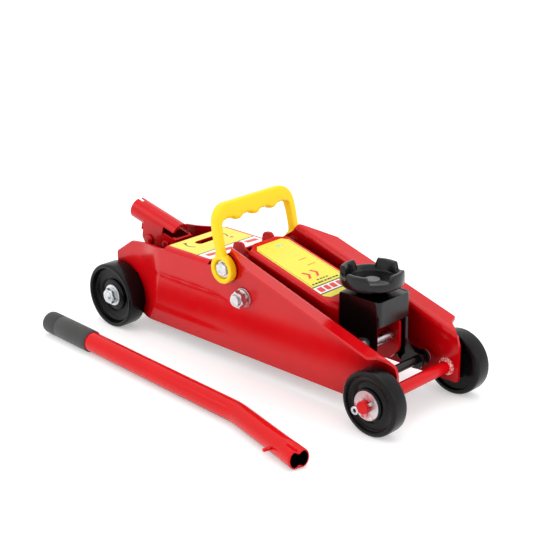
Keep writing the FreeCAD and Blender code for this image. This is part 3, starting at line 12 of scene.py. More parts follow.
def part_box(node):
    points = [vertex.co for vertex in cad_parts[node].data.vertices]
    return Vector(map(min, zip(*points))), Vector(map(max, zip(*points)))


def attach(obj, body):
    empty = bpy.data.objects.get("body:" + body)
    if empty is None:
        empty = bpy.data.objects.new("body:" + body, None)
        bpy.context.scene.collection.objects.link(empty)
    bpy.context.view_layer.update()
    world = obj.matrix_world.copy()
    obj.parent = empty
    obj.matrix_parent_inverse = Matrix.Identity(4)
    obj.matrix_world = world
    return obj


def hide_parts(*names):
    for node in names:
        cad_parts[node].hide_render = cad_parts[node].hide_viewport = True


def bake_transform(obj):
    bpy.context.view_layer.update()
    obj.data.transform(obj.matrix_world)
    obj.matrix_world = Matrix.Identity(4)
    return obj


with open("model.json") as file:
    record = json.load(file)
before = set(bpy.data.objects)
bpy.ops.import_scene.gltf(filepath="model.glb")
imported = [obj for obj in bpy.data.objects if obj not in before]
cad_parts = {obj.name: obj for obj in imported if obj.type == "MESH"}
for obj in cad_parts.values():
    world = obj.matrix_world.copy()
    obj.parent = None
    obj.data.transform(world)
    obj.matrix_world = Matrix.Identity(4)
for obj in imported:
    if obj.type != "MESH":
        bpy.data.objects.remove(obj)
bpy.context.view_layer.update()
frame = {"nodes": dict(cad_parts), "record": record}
nodes = frame["nodes"]

MM = 0.001
low_wheel, high_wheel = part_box("rear_wheel_left")
low_axle, high_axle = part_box("front_axle")
REAR_AXLE = Vector(((low_wheel.x + high_wheel.x) / 2, (low_axle.y + high_axle.y) / 2, 0))


def at(x, y, z):
    """A point given in millimetres from the floor under the middle of the rear axle."""
    return REAR_AXLE + Vector((x, y, z)) * MM


# Centres of round things seen from the side, as (x, z).
ARM_PIVOT = (206, 85.5)
HANDLE_HINGE = (182.3, 113.1)
FRONT_WHEEL = (398.5, 33.5)
REAR_WHEEL = (0, 37.6)
BRACKET_PIN = (349, 64)
SOCKET_PIVOT = (42, 95.5)
PUSH_PIN = (13, 95.5)


def beside(centre, y):
    """A centre seen from the side, moved out to y."""
    return (centre[0], y, centre[1])


def angles(steps):
    """The angles of a full turn in equal steps."""
    return [2 * math.pi * i / steps for i in range(steps)]


# ---------- materials


class Graph:
    """A material's node graph, with one call for each kind of node that is used here."""

    def __init__(self, name):
        self.material = bpy.data.materials.new(name)
        self.material.use_nodes = True
        self.tree = self.material.node_tree
        self.tree.nodes.clear()
        self.out = self.tree.nodes.new("ShaderNodeOutputMaterial")
        self.shader = self.tree.nodes.new("ShaderNodeBsdfPrincipled")
        self.tree.links.new(self.shader.outputs[0], self.out.inputs[0])

    def node(self, kind, settings=(), **inputs):
        node = self.tree.nodes.new("ShaderNode" + kind)
        for key, value in dict(settings).items():
            setattr(node, key, value)
        for key, value in inputs.items():
            self.feed(node, key.replace("_", " "), value)
        return node

    def feed(self, node, key, value):
        socket = node.inputs[int(key) if key.isdigit() else key]
        if isinstance(value, bpy.types.NodeSocket):
            self.tree.links.new(value, socket)
        else:
            socket.default_value = value

    def noise(self, scale, detail=3.0, rough=0.55):
        place = self.node("TexCoord").outputs["Object"]
        return self.node("TexNoise", Scale=scale, Detail=detail, Roughness=rough, Vector=place).outputs["Fac"]

    def ramp(self, factor, *stops):
        node = self.node("ValToRGB", Fac=factor)
        band = node.color_ramp
        while len(band.elements) < len(stops):
            band.elements.new(0.5)
        for element, (where, colour) in zip(band.elements, stops):
            element.position = where
            element.color = (colour, colour, colour, 1)
        return node.outputs["Color"]

    def mix(self, factor, first, second):
        node = self.node("Mix", {"data_type": "RGBA"})
        for key, value in (("0", factor), ("6", first), ("7", second)):
            self.feed(node, key, value if isinstance(value, bpy.types.NodeSocket) or key == "0" else (*value, 1))
        return node.outputs[2]

    def math(self, kind, *values):
        node = self.node("Math", {"operation": kind})
        for number, value in enumerate(values):
            self.feed(node, str(number), value)
        return node.outputs[0]

    def bump(self, height, strength, distance, normal=None):
        node = self.node("Bump", Height=height, Strength=strength, Distance=distance)
        if normal is not None:
            self.feed(node, "Normal", normal)
        return node.outputs["Normal"]

    def surface(self, **inputs):
        for key, value in inputs.items():
            self.feed(self.shader, key.replace("_", " "), value)
        return self.material


def rgb(red, green, blue):
    """An sRGB colour from 0 to 255 as the linear colour that a shader takes."""
    parts = []
    for value in (red, green, blue):
        share = value / 255
        parts.append(share / 12.92 if share <= 0.04045 else ((share + 0.055) / 1.055) ** 2.4)
    return tuple(parts)


# A bump's depth for a fine grain, in metres.
SKIN, PEEL = 0.00004, 0.00006


def enamel(name, colour, shade, rough=0.18, peel=0.2, grit=0.0, specular=0.34, deep=0.0):
    """Sprayed enamel, slightly uneven under a fine orange peel; painted shade darkens its colour and shine in
    recesses narrower than deep (m).
    """
    g = Graph(name)
    tint = g.mix(g.ramp(g.noise(22.0, 4.0), (0.35, 0.0), (0.7, 1.0)), colour, shade)
    shine = specular
    # Painted shade: when deep is given, an ambient occlusion mask darkens the colour towards 0.3 of itself and
    # weakens the shine in recesses.
    if deep:
        open_air = g.node("AmbientOcclusion", {"samples": 8}, Distance=deep).outputs["AO"]
        painted_lit_share = g.ramp(open_air, (0.26, 0.0), (0.68, 1.0))
        tint = g.mix(painted_lit_share, [c * 0.3 for c in colour], tint)
        shine = g.math("MULTIPLY", painted_lit_share, specular)
    relief = g.bump(g.noise(520.0, 2.0), peel, PEEL)
    if grit:
        relief = g.bump(g.noise(2600.0, 2.0), grit, PEEL, relief)
    wear = g.ramp(g.noise(60.0, 6.0, 0.7), (0.3, rough * 0.8), (0.75, rough * 1.35))
    return g.surface(Base_Color=tint, Roughness=wear, Normal=relief, Specular_IOR_Level=shine)


def plastic(name, colour, shade, rough, grain, depth, scatter=0.0, specular=0.3):
    """Moulded plastic with a fine grain from the tool."""
    g = Graph(name)
    tint = g.mix(g.noise(35.0, 4.0), colour, shade)
    relief = g.bump(g.noise(grain, 3.0), 0.35, depth)
    wear = g.ramp(g.noise(90.0, 5.0, 0.65), (0.3, rough * 0.85), (0.75, rough * 1.2))
    g.surface(Base_Color=tint, Roughness=wear, Normal=relief, Specular_IOR_Level=specular)
    if scatter:
        g.surface(Subsurface_Weight=scatter, Subsurface_Radius=(0.004, 0.002, 0.0006))
    return g.material


def metal(name, colour, shade, rough):
    """Plated or ground steel, with faint clouding and a fine grain."""
    g = Graph(name)
    tint = g.mix(g.ramp(g.noise(140.0, 5.0, 0.6), (0.35, 0.0), (0.7, 1.0)), colour, shade)
    wear = g.ramp(g.noise(320.0, 6.0, 0.7), (0.3, rough * 0.7), (0.75, rough * 1.4))
    relief = g.bump(g.noise(1500.0, 3.0), 0.25, SKIN)
    return g.surface(Base_Color=tint, Metallic=1.0, Roughness=wear, Normal=relief)


def rubber(name):
    g = Graph(name)
    tint = g.mix(g.noise(60.0, 5.0, 0.6), rgb(34, 33, 33), rgb(48, 46, 45))
    relief = g.bump(g.noise(1700.0, 4.0, 0.7), 0.7, 0.00012)
    wear = g.ramp(g.noise(40.0), (0.3, 0.62), (0.8, 0.85))
    return g.surface(Base_Color=tint, Roughness=wear, Normal=relief, Sheen_Weight=0.15)


def film(name, colour, shade, rough=0.3):
    """The smooth film or the ink of a printed label."""
    return plastic(name, colour, shade, rough, 1200.0, 0.00001)


# RED, PLATE_RED and BAR_RED carry painted shade: their colour and shine darken in recesses narrower than deep.
RED = enamel("red_enamel", rgb(204, 4, 14), rgb(194, 3, 12), peel=0.18, specular=0.24, deep=0.05)
PLATE_RED = enamel("plate_enamel", rgb(202, 4, 14), rgb(194, 3, 12), rough=0.16, peel=0.14, deep=0.08)
BAR_RED = enamel("bar_enamel", rgb(208, 6, 12), rgb(200, 5, 10), rough=0.16, specular=0.2, deep=0.012)
BLACK = enamel("black_enamel", rgb(7, 7, 8), rgb(4, 4, 5), specular=0.4)
RUBBED = enamel("rubbed_iron", rgb(112, 110, 110), rgb(84, 82, 82), rough=0.4, peel=0.5, grit=0.4)
CAST = enamel("black_cast", rgb(10, 9, 10), rgb(5, 5, 6), rough=0.22, peel=0.5, grit=0.3, specular=0.36)
WHEEL = plastic("wheel_plastic", rgb(8, 8, 9), rgb(5, 5, 6), 0.26, 700.0, SKIN, specular=0.2)
YELLOW = plastic("yellow_plastic", rgb(255, 214, 20), rgb(250, 202, 10), 0.38, 900.0, SKIN, 0.08)
ZINC = metal("zinc_plate", rgb(222, 224, 226), rgb(190, 194, 198), 0.32)
STEEL = metal("bright_steel", rgb(205, 206, 210), rgb(170, 172, 176), 0.25)
GRIP = rubber("grip_rubber")
LABEL = film("yellow_label", rgb(252, 236, 90), rgb(250, 230, 80))
LABEL_YELLOW = film("label_yellow", rgb(232, 220, 76), rgb(228, 214, 68))
LABEL_INK = film("label_ink", rgb(48, 50, 58), rgb(40, 42, 50), 0.35)
LABEL_WHITE = film("label_white", rgb(250, 246, 244), rgb(242, 236, 234))
LABEL_RED = film("label_red", rgb(226, 70, 62), rgb(214, 56, 52))
LABEL_GREY = film("label_grey", rgb(222, 208, 96), rgb(210, 196, 92), 0.35)
LABEL_BLUE = film("label_blue", rgb(150, 214, 214), rgb(140, 204, 206), 0.35)


def oversprayed(name):
    """Zinc plate with a mist of red paint thrown over part of it."""
    g = Graph(name)
    clean = g.mix(g.noise(140.0, 5.0, 0.6), rgb(222, 224, 226), rgb(196, 198, 202))
    mist = g.ramp(g.noise(75.0, 6.0, 0.75), (0.46, 0.0), (0.62, 1.0))
    tint = g.mix(mist, clean, rgb(200, 30, 36))
    bare = g.math("SUBTRACT", 1.0, mist)
    wear = g.ramp(g.noise(320.0, 6.0, 0.7), (0.3, 0.25), (0.75, 0.5))
    relief = g.bump(g.noise(1300.0, 3.0), 0.3, 0.00005)
    return g.surface(Base_Color=tint, Metallic=bare, Roughness=wear, Normal=relief)


OVERSPRAYED = oversprayed("oversprayed_zinc")


def spattered(name):
    """Red enamel over a rough weld, flecked with bare pale metal."""
    g = Graph(name)
    flecks = g.ramp(g.noise(900.0, 5.0, 0.7), (0.5, 0.0), (0.56, 1.0))
    tint = g.mix(flecks, rgb(204, 6, 14), rgb(244, 214, 210))
    wear = g.ramp(g.noise(400.0), (0.3, 0.25), (0.7, 0.55))
    relief = g.bump(g.noise(700.0, 5.0, 0.7), 0.9, 0.0003)
    return g.surface(Base_Color=tint, Roughness=wear, Normal=relief)


SPATTERED = spattered("spattered_weld")

BY_SLOT = {
    "red_paint": RED, "black_paint": BLACK, "black_iron": CAST, "wheel_plastic": WHEEL,
    "yellow_plastic": YELLOW, "grip_rubber": GRIP, "yellow_label": LABEL, "zinc_steel": ZINC,
    "bright_steel": STEEL,
}
SLOT_OF = {part["node"]: part["material_slot"] for part in frame["record"]["subparts"]}
for node_name, slot in SLOT_OF.items():
    nodes[node_name].data.materials.clear()
    nodes[node_name].data.materials.append(BY_SLOT[slot])


def soften(piece, width, angle=35, harden=False):
    """Round a piece's sharp edges by a width in millimetres."""
    bevel = piece.modifiers.new("edges", "BEVEL")
    bevel.width = width * MM
    bevel.segments = 2
    bevel.limit_method = "ANGLE"
    bevel.angle_limit = math.radians(angle)
    bevel.harden_normals = harden


# ---------- shapes


def ease(value):
    value = min(max(value, 0.0), 1.0)
    return value * value * (3 - 2 * value)


def lerp(first, second, share):
    return first + (second - first) * share


def circle(across, up, radius, steps=32):
    """Corners of a circle in a drawing plane."""
    turn = 2 * math.pi / steps
    return [(across + radius * math.cos(turn * i), up + radius * math.sin(turn * i)) for i in range(steps)]


def rounded(corners, steps=5):
    """A closed outline from corners (x, y, radius), each rounded off by its radius."""
    outline = []
    count = len(corners)
    for i, (x, y, radius) in enumerate(corners):
        here = Vector((x, y))
        before = Vector(corners[i - 1][:2]) - here
        after = Vector(corners[(i + 1) % count][:2]) - here
        half = before.angle(after) / 2
        cut = min(radius / max(math.tan(half), 1e-3), before.length * 0.49, after.length * 0.49)
        if radius <= 0 or cut < 0.05:
            outline.append((x, y))
            continue
        start = here + before.normalized() * cut
        stop = here + after.normalized() * cut
        for k in range(steps + 1):
            t = k / steps
            spot = start * (1 - t) ** 2 + here * 2 * t * (1 - t) + stop * t ** 2
            outline.append((spot.x, spot.y))
    return outline


def mirrored(corners, axis):
    """Corners (x, y, radius) in reverse order with one coordinate's sign changed."""
    return [tuple(-c if k == axis else c for k, c in enumerate(corner)) for corner in reversed(corners)]


def inside(outline, x, y):
    """Whether a point lies within a closed outline."""
    hit = False
    for (ax, ay), (bx, by) in zip(outline, outline[1:] + outline[:1]):
        if (ay > y) != (by > y) and x < (bx - ax) * (y - ay) / (by - ay) + ax:
            hit = not hit
    return hit


def dense(outline, longest=3.0):
    """The same outline with its long sides cut into short ones, so that it follows a bend."""
    points = []
    for (ax, ay), (bx, by) in zip(outline, outline[1:] + outline[:1]):
        count = max(1, math.ceil(math.hypot(bx - ax, by - ay) / longest))
        points += [(lerp(ax, bx, k / count), lerp(ay, by, k / count)) for k in range(count)]
    return points


def reach(outline, x, y):
    """Distance from a point to the nearest side of an outline."""
    spot = Vector((x, y))
    best = 1e9
    for a, b in zip(outline, outline[1:] + outline[:1]):
        a, b = Vector(a), Vector(b)
        side = b - a
        t = min(max((spot - a).dot(side) / max(side.length_squared, 1e-9), 0), 1)
        best = min(best, (a + side * t - spot).length)
    return best


def fold(far, flat, turn, w, most=math.pi / 2):
    """A folded sheet's section, flat up to a bend of radius turn and straight on after it, as (out, up)."""
    angle = min(max(far - flat, 0) / turn, most)
    past = max(far - flat - turn * most, 0)
    out = min(far, flat) + (turn + w) * math.sin(angle) + past * math.cos(most)
    return out, (turn + w) * math.cos(angle) - turn - past * math.sin(most)


class Shape:
    """A mesh in the making, in millimetres along the jack's own axes."""

    def __init__(self):
        self.mesh = bmesh.new()
        self.material = 0

    def face(self, *corners):
        if len(set(corners)) > 2:
            try:
                self.mesh.faces.new(corners).material_index = self.material
            except ValueError:
                pass

    def loft(self, loops, ends=True):
        """Faces between one loop of points and the next, with a face over each end if wanted."""
        rows = [[self.mesh.verts.new(p) for p in loop] for loop in loops]
        for low, high in zip(rows, rows[1:]):
            for i in range(len(low)):
                j = (i + 1) % len(low)
                self.face(low[i], low[j], high[j], high[i])
        if ends:
            self.face(*reversed(rows[0]))
            self.face(*rows[-1])

    def lathe(self, profile, centre, axis, steps=64):
        """Turns a profile of (radius, along) round an axis through the centre; radius 0 closes an end."""
        middle = Vector(centre)
        along = Vector(axis).normalized()
        side = along.orthogonal().normalized()
        up = along.cross(side)
        rows = []
        for radius, far in profile:
            if radius < 1e-4:
                rows.append([self.mesh.verts.new(middle + along * far)])
                continue
            row = []
            for turn in angles(steps):
                out = side * math.cos(turn) + up * math.sin(turn)
                row.append(self.mesh.verts.new(middle + out * radius + along * far))
            rows.append(row)
        pairs = list(zip(rows, rows[1:]))
        if len(rows[0]) > 1 and len(rows[-1]) > 1:
            pairs.append((rows[-1], rows[0]))
        for low, high in pairs:
            for i in range(steps):
                j = (i + 1) % steps
                a, b = low[i % len(low)], low[j % len(low)]
                c, e = high[j % len(high)], high[i % len(high)]
                self.face(*dict.fromkeys((a, b, c, e)))

    def prism(self, outline, place, low, high):
        """A flat outline carried from low to high; place turns (u, v, w) into a point."""
        self.loft([[place(u, v, low) for u, v in outline], [place(u, v, high) for u, v in outline]])

    def sheet(self, outline, holes, place, thick, step=6.0, extra=()):
        """Sheet metal: an outline with holes in flat (u, v), bent by place(u, v, w) and thick along w."""
        points, edges = [], []
        outline = dense(outline)
        for loop in [outline] + list(holes):
            first = len(points)
            points += [Vector(p) for p in loop]
            edges += [(first + i, first + (i + 1) % len(loop)) for i in range(len(loop))]
        us, vs = zip(*outline)
        spots = list(extra)
        for i in range(1, int((max(us) - min(us)) / step) + 1):
            for j in range(1, int((max(vs) - min(vs)) / step) + 1):
                spots.append((min(us) + i * step, min(vs) + j * step))
        for u, v in spots:
            if not inside(outline, u, v) or any(inside(hole, u, v) for hole in holes):
                continue
            if min(reach(loop, u, v) for loop in [outline] + list(holes)) > 0.7:
                points.append(Vector((u, v)))
        flat, _, faces = delaunay_2d_cdt(points, edges, [], 1, 1e-4)[:3]
        upper = [self.mesh.verts.new(place(p.x, p.y, thick / 2)) for p in flat]
        lower = [self.mesh.verts.new(place(p.x, p.y, -thick / 2)) for p in flat]
        sides = {}
        for tri in faces:
            centre = (flat[tri[0]] + flat[tri[1]] + flat[tri[2]]) / 3
            if any(inside(hole, centre.x, centre.y) for hole in holes):
                continue
            self.face(*[upper[k] for k in tri])
            self.face(*[lower[k] for k in reversed(tri)])
            for a, b in ((tri[0], tri[1]), (tri[1], tri[2]), (tri[2], tri[0])):
                if (b, a) in sides:
                    del sides[(b, a)]
                else:
                    sides[(a, b)] = True
        for a, b in sides:
            self.face(upper[b], upper[a], lower[a], lower[b])

    def piece(self, name, body, replaced, materials, bevel=0.0, sharp=32):
        """The finished object: it rides on a body and stands for the CAD nodes it replaces."""
        loose = [v for v in self.mesh.verts if not v.link_faces]
        bmesh.ops.delete(self.mesh, geom=loose, context="VERTS")
        bmesh.ops.remove_doubles(self.mesh, verts=self.mesh.verts, dist=0.004)
        bmesh.ops.recalc_face_normals(self.mesh, faces=self.mesh.faces)
        for vert in self.mesh.verts:
            vert.co = REAR_AXLE + vert.co * MM
        mesh = bpy.data.meshes.new(name)
        self.mesh.to_mesh(mesh)
        self.mesh.free()
        for material in materials if isinstance(materials, (list, tuple)) else [materials]:
            mesh.materials.append(material)
        mesh.polygons.foreach_set("use_smooth", [True] * len(mesh.polygons))
        mesh.set_sharp_from_angle(angle=math.radians(sharp))
        thing = bpy.data.objects.new(name, mesh)
        bpy.context.scene.collection.objects.link(thing)
        if bevel:
            soften(thing, bevel, sharp, harden=True)
        if body:
            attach(thing, body)
        if replaced:
            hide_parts(*replaced)


SIDES = {"left": -1, "right": 1}


# ---------- side plates

FLANGE_TURN, FLANGE_WIDE = 6.0, 20.5


def flange_line(x):
    return 139.2 - 0.303 * (x - 189)


def bend_start(x):
    return flange_line(x) - 1.5 - FLANGE_TURN


def flange_edge(x):
    return bend_start(x) + math.pi / 2 * FLANGE_TURN + FLANGE_WIDE - FLANGE_TURN


def wall_middle(x, z):
    """How far the plate's middle surface stands from the jack's middle: it steps in round the rear wheel."""
    start = 25 + 6.5 * ease((z - 19) / 18)
    return 40.6 + 7.6 * ease((x - start) / (28 + 14 * ease((z - 20) / 70)))


PANEL_LOW = 33.5


def panel_top(x):
    return lerp(80, 74, ease((x - 150) / 82)) - 10 * ease((x - 168) / 40)


def panel_depth(x, z):
    """A shallow pressed panel with soft ramps at its upper and lower crease."""
    fade = ease((x - 44) / 16) * (1 - ease((x - 128) / 70))
    return 0.75 * fade * ease((panel_top(x) - z) / 3.4) * ease((z - PANEL_LOW) / 7.5)


def plate_place(side):
    """Where a flat point of the sheet goes: t runs up the wall and on over the flange, w is outward."""
    def place(x, t, w):
        start = bend_start(x)
        middle = wall_middle(x, min(t, start))
        if t <= start:
            y, z = middle + w - panel_depth(x, t), t
        else:
            turn = min((t - start) / FLANGE_TURN, math.pi / 2)
            past = max(t - start - FLANGE_TURN * math.pi / 2, 0)
            y = middle + FLANGE_TURN - (FLANGE_TURN - w) * math.cos(turn) + past
            z = start + (FLANGE_TURN - w) * math.sin(turn) + past * 0.1
        return (x, side * y, z)
    return place


def plate_spots():
    """Extra points of the sheet where it bends: the rear step, the panel's creases and the flange."""
    spots = []
    for i in range(8):
        spots += [(26 + i * 6.4, z) for z in range(24, 104, 5)]
    for x in range(50, 236, 5):
        spots += [(x, panel_top(x) - k * 0.85) for k in range(5)]
        spots += [(x, PANEL_LOW + k * 1.5) for k in range(6)]
    for x in range(192, 412, 4):
        spots += [(x, bend_start(x) + FLANGE_TURN * math.pi / 2 * k / 7) for k in range(8)]
    return spots


def side_plates():
    outline = rounded([
        (-10.5, 31, 4), (3.5, 19, 6), (413.3, 19, 4), (413.3, 59, 7), (410, bend_start(410) + 4, 6),
        (403, bend_start(403) + 9, 6), (395, bend_start(395) + 13.5, 2), (391.5, flange_edge(391.5), 3),
        (231, flange_edge(231), 2), (191, bend_start(191) + 7, 2), (186, 130.5, 4), (153.5, 108.7, 3),
        (80, 108.7, 2), (57, 107.0, 14), (16.5, 102.5, 4), (-10.5, 84.5, 5)])
    holes = [circle(*ARM_PIVOT, 6.1), circle(*HANDLE_HINGE, 5.1), circle(*FRONT_WHEEL, 6.6),
             circle(*REAR_WHEEL, 5.1), circle(23, 30, 4.1), circle(23, 62, 4.1)]
    for name, side in SIDES.items():
        shape = Shape()
        shape.sheet(outline, holes, plate_place(side), 3.0, 6.0, plate_spots())
        shape.piece(f"pressed_plate_{name}", "chassis", [f"side_plate_{name}"], PLATE_RED, 0.45, 38)


# ---------- wheels


def wheels():
    """Rollers turned from profiles of (radius, distance out from the wheel's outer face)."""
    front = [(6.6, 0.5), (16.0, 0.6), (16.6, 0.2), (17.2, -2.4), (18.6, -2.9), (19.4, -3.6), (22.5, -4.0),
             (26.6, -3.7), (27.5, -3.0), (28.0, -0.8), (28.5, -0.1), (29.0, 0.0), (30.2, 0.0), (31.4, -0.3),
             (32.5, -1.0), (33.2, -2.0), (33.5, -3.4), (33.5, -16.4), (33.2, -18.0), (32.4, -19.2),
             (31.2, -19.8), (30.0, -20.0), (28.4, -20.0), (27.8, -17.0), (20.0, -16.4), (17.0, -16.2),
             (16.5, -19.9), (6.6, -20.0)]
    rear = [(5.1, -6.0), (12.4, -6.0), (17.6, -6.0), (18.2, -6.4), (18.8, -9.2), (21.0, -9.9), (27.0, -9.6),
            (30.6, -8.2), (31.8, -6.8), (32.3, -2.0), (32.8, -0.5), (33.6, 0.0), (35.0, 0.0), (36.4, -0.4),
            (37.2, -1.4), (37.6, -3.0), (37.6, -20.4), (37.2, -21.8), (36.4, -22.8), (35.0, -23.2),
            (32.4, -23.2), (31.8, -16.0), (20.0, -15.0), (18.0, -15.4), (17.4, -23.0), (5.1, -23.1)]
    for name, side in SIDES.items():
        for end, profile, centre, face in (("front", front, FRONT_WHEEL, 75.0),
                                           ("rear", rear, REAR_WHEEL, 65.8)):
            shape = Shape()
            shape.lathe(profile, beside(centre, side * face), (0, side, 0), 96)
            node = f"{end}_wheel_{name}"
            shape.piece(f"{end}_roller_{name}", node, [node], WHEEL, 0.0, 40)


# ---------- carry handle


def carry_handle():
    """A bow of one moulding: two legs, two round corners and a grip with hollows for the fingers."""
    hinge = Vector(beside(HANDLE_HINGE, 0))
    tilt = Matrix.Rotation(math.radians(-12.0), 4, "Y")
    leg_y, grip_z, corner = 52.6, 60.2, 14.0
    leg_z, span = grip_z - corner, leg_y - corner
    # The centre line as (y, z, share), where share grows from 0 at the hinge to 1 along the grip.
    leg = [(-leg_y, lerp(11.5, leg_z, k / 8), k / 8 * 0.3) for k in range(9)]
    for k in range(1, 9):
        turn = math.pi / 2 * k / 8
        leg.append((-leg_y + corner * (1 - math.cos(turn)), leg_z + corner * math.sin(turn), 0.3 + 0.7 * k / 8))
    grip = [(-span + 2 * span * k / 60, grip_z, 1.0) for k in range(1, 60)]
    loops = []
    for y, z, share in leg + grip + [(-y, z, share) for y, z, share in reversed(leg)]:
        if abs(y) <= span:
            out = Vector((0, 0, 1))
        elif z <= leg_z:
            out = Vector((0, math.copysign(1, y), 0))
        else:
            out = Vector((0, y - math.copysign(span, y), z - leg_z)).normalized()
        outer = lerp(4.2, 8.0, ease(share))
        wave = abs(math.sin(math.pi * y / 25.6))
        scallop = 3.6 * ease((wave - 0.2) / 0.75)
        under = lerp(3.8, 13.4 - scallop, ease((share - 0.3) / 0.7))
        spread = 0.0
        if abs(y) > span:
            under = min(under, 8.6)
            spread = math.copysign(2.1 * (1 - ease((z - 33) / 26)), y)
        deep = lerp(7.6, 5.0, ease((z - 12) / 7))
        deep = lerp(deep, 6.1, ease((z - 14) / 34) * share)
        loop = []
        for turn in angles(28):
            c, s = math.cos(turn), math.sin(turn)
            across = math.copysign(abs(c) ** 0.42, c) * deep
            high = math.copysign(abs(s) ** 0.42, s)
            far = high * (outer if high > 0 else under)
            loop.append(hinge + tilt @ (Vector((across, y + spread, z)) + out * far))
        loops.append(loop)
    shape = Shape()
    shape.loft(loops)
    for side in SIDES.values():
        profile = [(5.3, -9.3), (14.4, -9.3), (15.2, -8.6), (15.4, -7.6), (15.4, -1.6), (15.0, -0.5),
                   (14.0, 0.0), (12.0, 0.0), (11.0, -0.5), (10.5, -1.4), (10.2, -5.0), (5.3, -5.0)]
        shape.lathe(profile, hinge + Vector((0, side * 59.8, 0)), (0, side, 0), 64)
    shape.piece("moulded_handle", "carry_handle", ["carry_handle"], YELLOW, 0.0, 50)


# ---------- saddle and bracket


def saddle():
    """A turned cup whose rim rises into four lugs, with a rubbed disc in the middle."""
    centre = Vector((339, 0, 0))
    shape = Shape()
    around = angles(192)
    lugs = [math.radians(a) for a in (10, 100, 190, 280)]
    columns = []
    for turn in around:
        off = min(abs((turn - lug + math.pi) % (2 * math.pi) - math.pi) for lug in lugs)
        lift = ease((math.radians(25.5) - off) / math.radians(5.5))
        rim = 131 + 6.8 * lift
        columns.append([(8.0, 126.0), (8.5, 125.6), (9.2, 125.0), (24.6, 125.0), (26.0, 125.5), (26.8, 127.0),
                        (27.3, rim - 1.2), (27.9, rim - 0.3), (28.6, rim), (31.2, rim), (32.1, rim - 0.5),
                        (32.5, rim - 1.4), (32.5, 124.6), (32.1, 123.4), (31.0, 122.2), (19.0, 117.6),
                        (16.5, 116.4), (14.6, 115.2), (14.0, 114.95), (8.0, 114.9), (8.0, 108.3)])
    rows = []
    for k in range(len(columns[0])):
        row = []
        for turn, column in zip(around, columns):
            radius, z = column[k]
            row.append(centre + Vector((radius * math.cos(turn), radius * math.sin(turn), z)))
        rows.append(row)
    shape.loft(rows)
    shape.material = 1
    shape.lathe([(0, 126.4), (7.3, 126.35), (7.8, 126.1), (7.8, 125.8), (0, 125.8)], centre, (0, 0, 1), 48)
    shape.piece("saddle_cup", "saddle", ["saddle"], [CAST, RUBBED], 0.0, 42)


def saddle_bracket():
    """Bent from one sheet: two cheeks, the front between them with a window under it, and a top."""
    mid, turn, half, front = 1.25, 3.2, 24.4, 369.0
    flat = half - mid - turn
    bend = turn * math.pi / 2

    def place(u, v, w):
        """u runs round the front from the middle; w is outward."""
        out, ahead = fold(abs(u), flat, turn, w)
        return (front - mid + ahead, math.copysign(out, u), v)

    def cheek(x):
        return flat + bend + (front - mid - turn - x)

    right = [(cheek(317), 114.3, 3), (cheek(317), 74, 5), (cheek(335), 52, 6), (cheek(360), 36, 4),
             (cheek(360) - 6, 34, 2), (flat + bend - 1, 44, 2), (flat + bend - 1, 88, 3)]
    outline = rounded([(0, 114.3, 0)] + right + [(0, 88, 0)] + mirrored(right, 0))
    spots = []
    for k in range(9):
        u = flat + bend * k / 8
        spots += [(side * u, v) for v in range(46, 114, 5) for side in (-1, 1)]
    holes = [circle(side * cheek(BRACKET_PIN[0]), BRACKET_PIN[1], 6.1) for side in (-1, 1)]
    shape = Shape()
    shape.sheet(outline, holes, place, 2.5, 6.0, spots)
    for side in (-1, 1):
        def ear_place(u, v, w, side=side):
            return (u, side * (half - mid + w), v)
        ear = rounded([(352, 56, 3), (357.4, 70, 2), (361.5, 68, 4), (374, 51.5, 8), (386.6, 48.5, 8),
                       (387.5, 41, 8), (384, 33.4, 8), (374, 32.6, 8), (356, 39, 5)])
        shape.sheet(ear, [circle(378, 42, 4.6)], ear_place, 2.5, 6.0)
    top = rounded([(317.2, -21.9, 1), (366.4, -21.9, 3), (366.4, 21.9, 3), (317.2, 21.9, 1)])
    shape.prism(top, lambda u, v, w: (u, v, w), 111.6, 113.9)
    shape.piece("bent_bracket", "saddle_bracket", ["saddle_bracket"], BLACK, 0.7, 38)


# ---------- lift arm


ARM_TOP, ARM_REAR, ARM_FOLD, ARM_SLOPE = 132.3, 189, 305, 0.258


def arm_line(x):
    """Height of the arm's top: an even slope, then a steeper one past the fold."""
    if x <= ARM_FOLD:
        return ARM_TOP - ARM_SLOPE * (x - ARM_REAR)
    return lerp(arm_line(ARM_FOLD), 89, min((x - ARM_FOLD) / 38, 1))


def arm_half(x):
    """Half the arm's width over its outer faces: it narrows to a nose in front."""
    return lerp(32, 19.5, ease((x - 303) / 20) * 0.5 + min(max((x - 304) / 18, 0), 1) * 0.5)


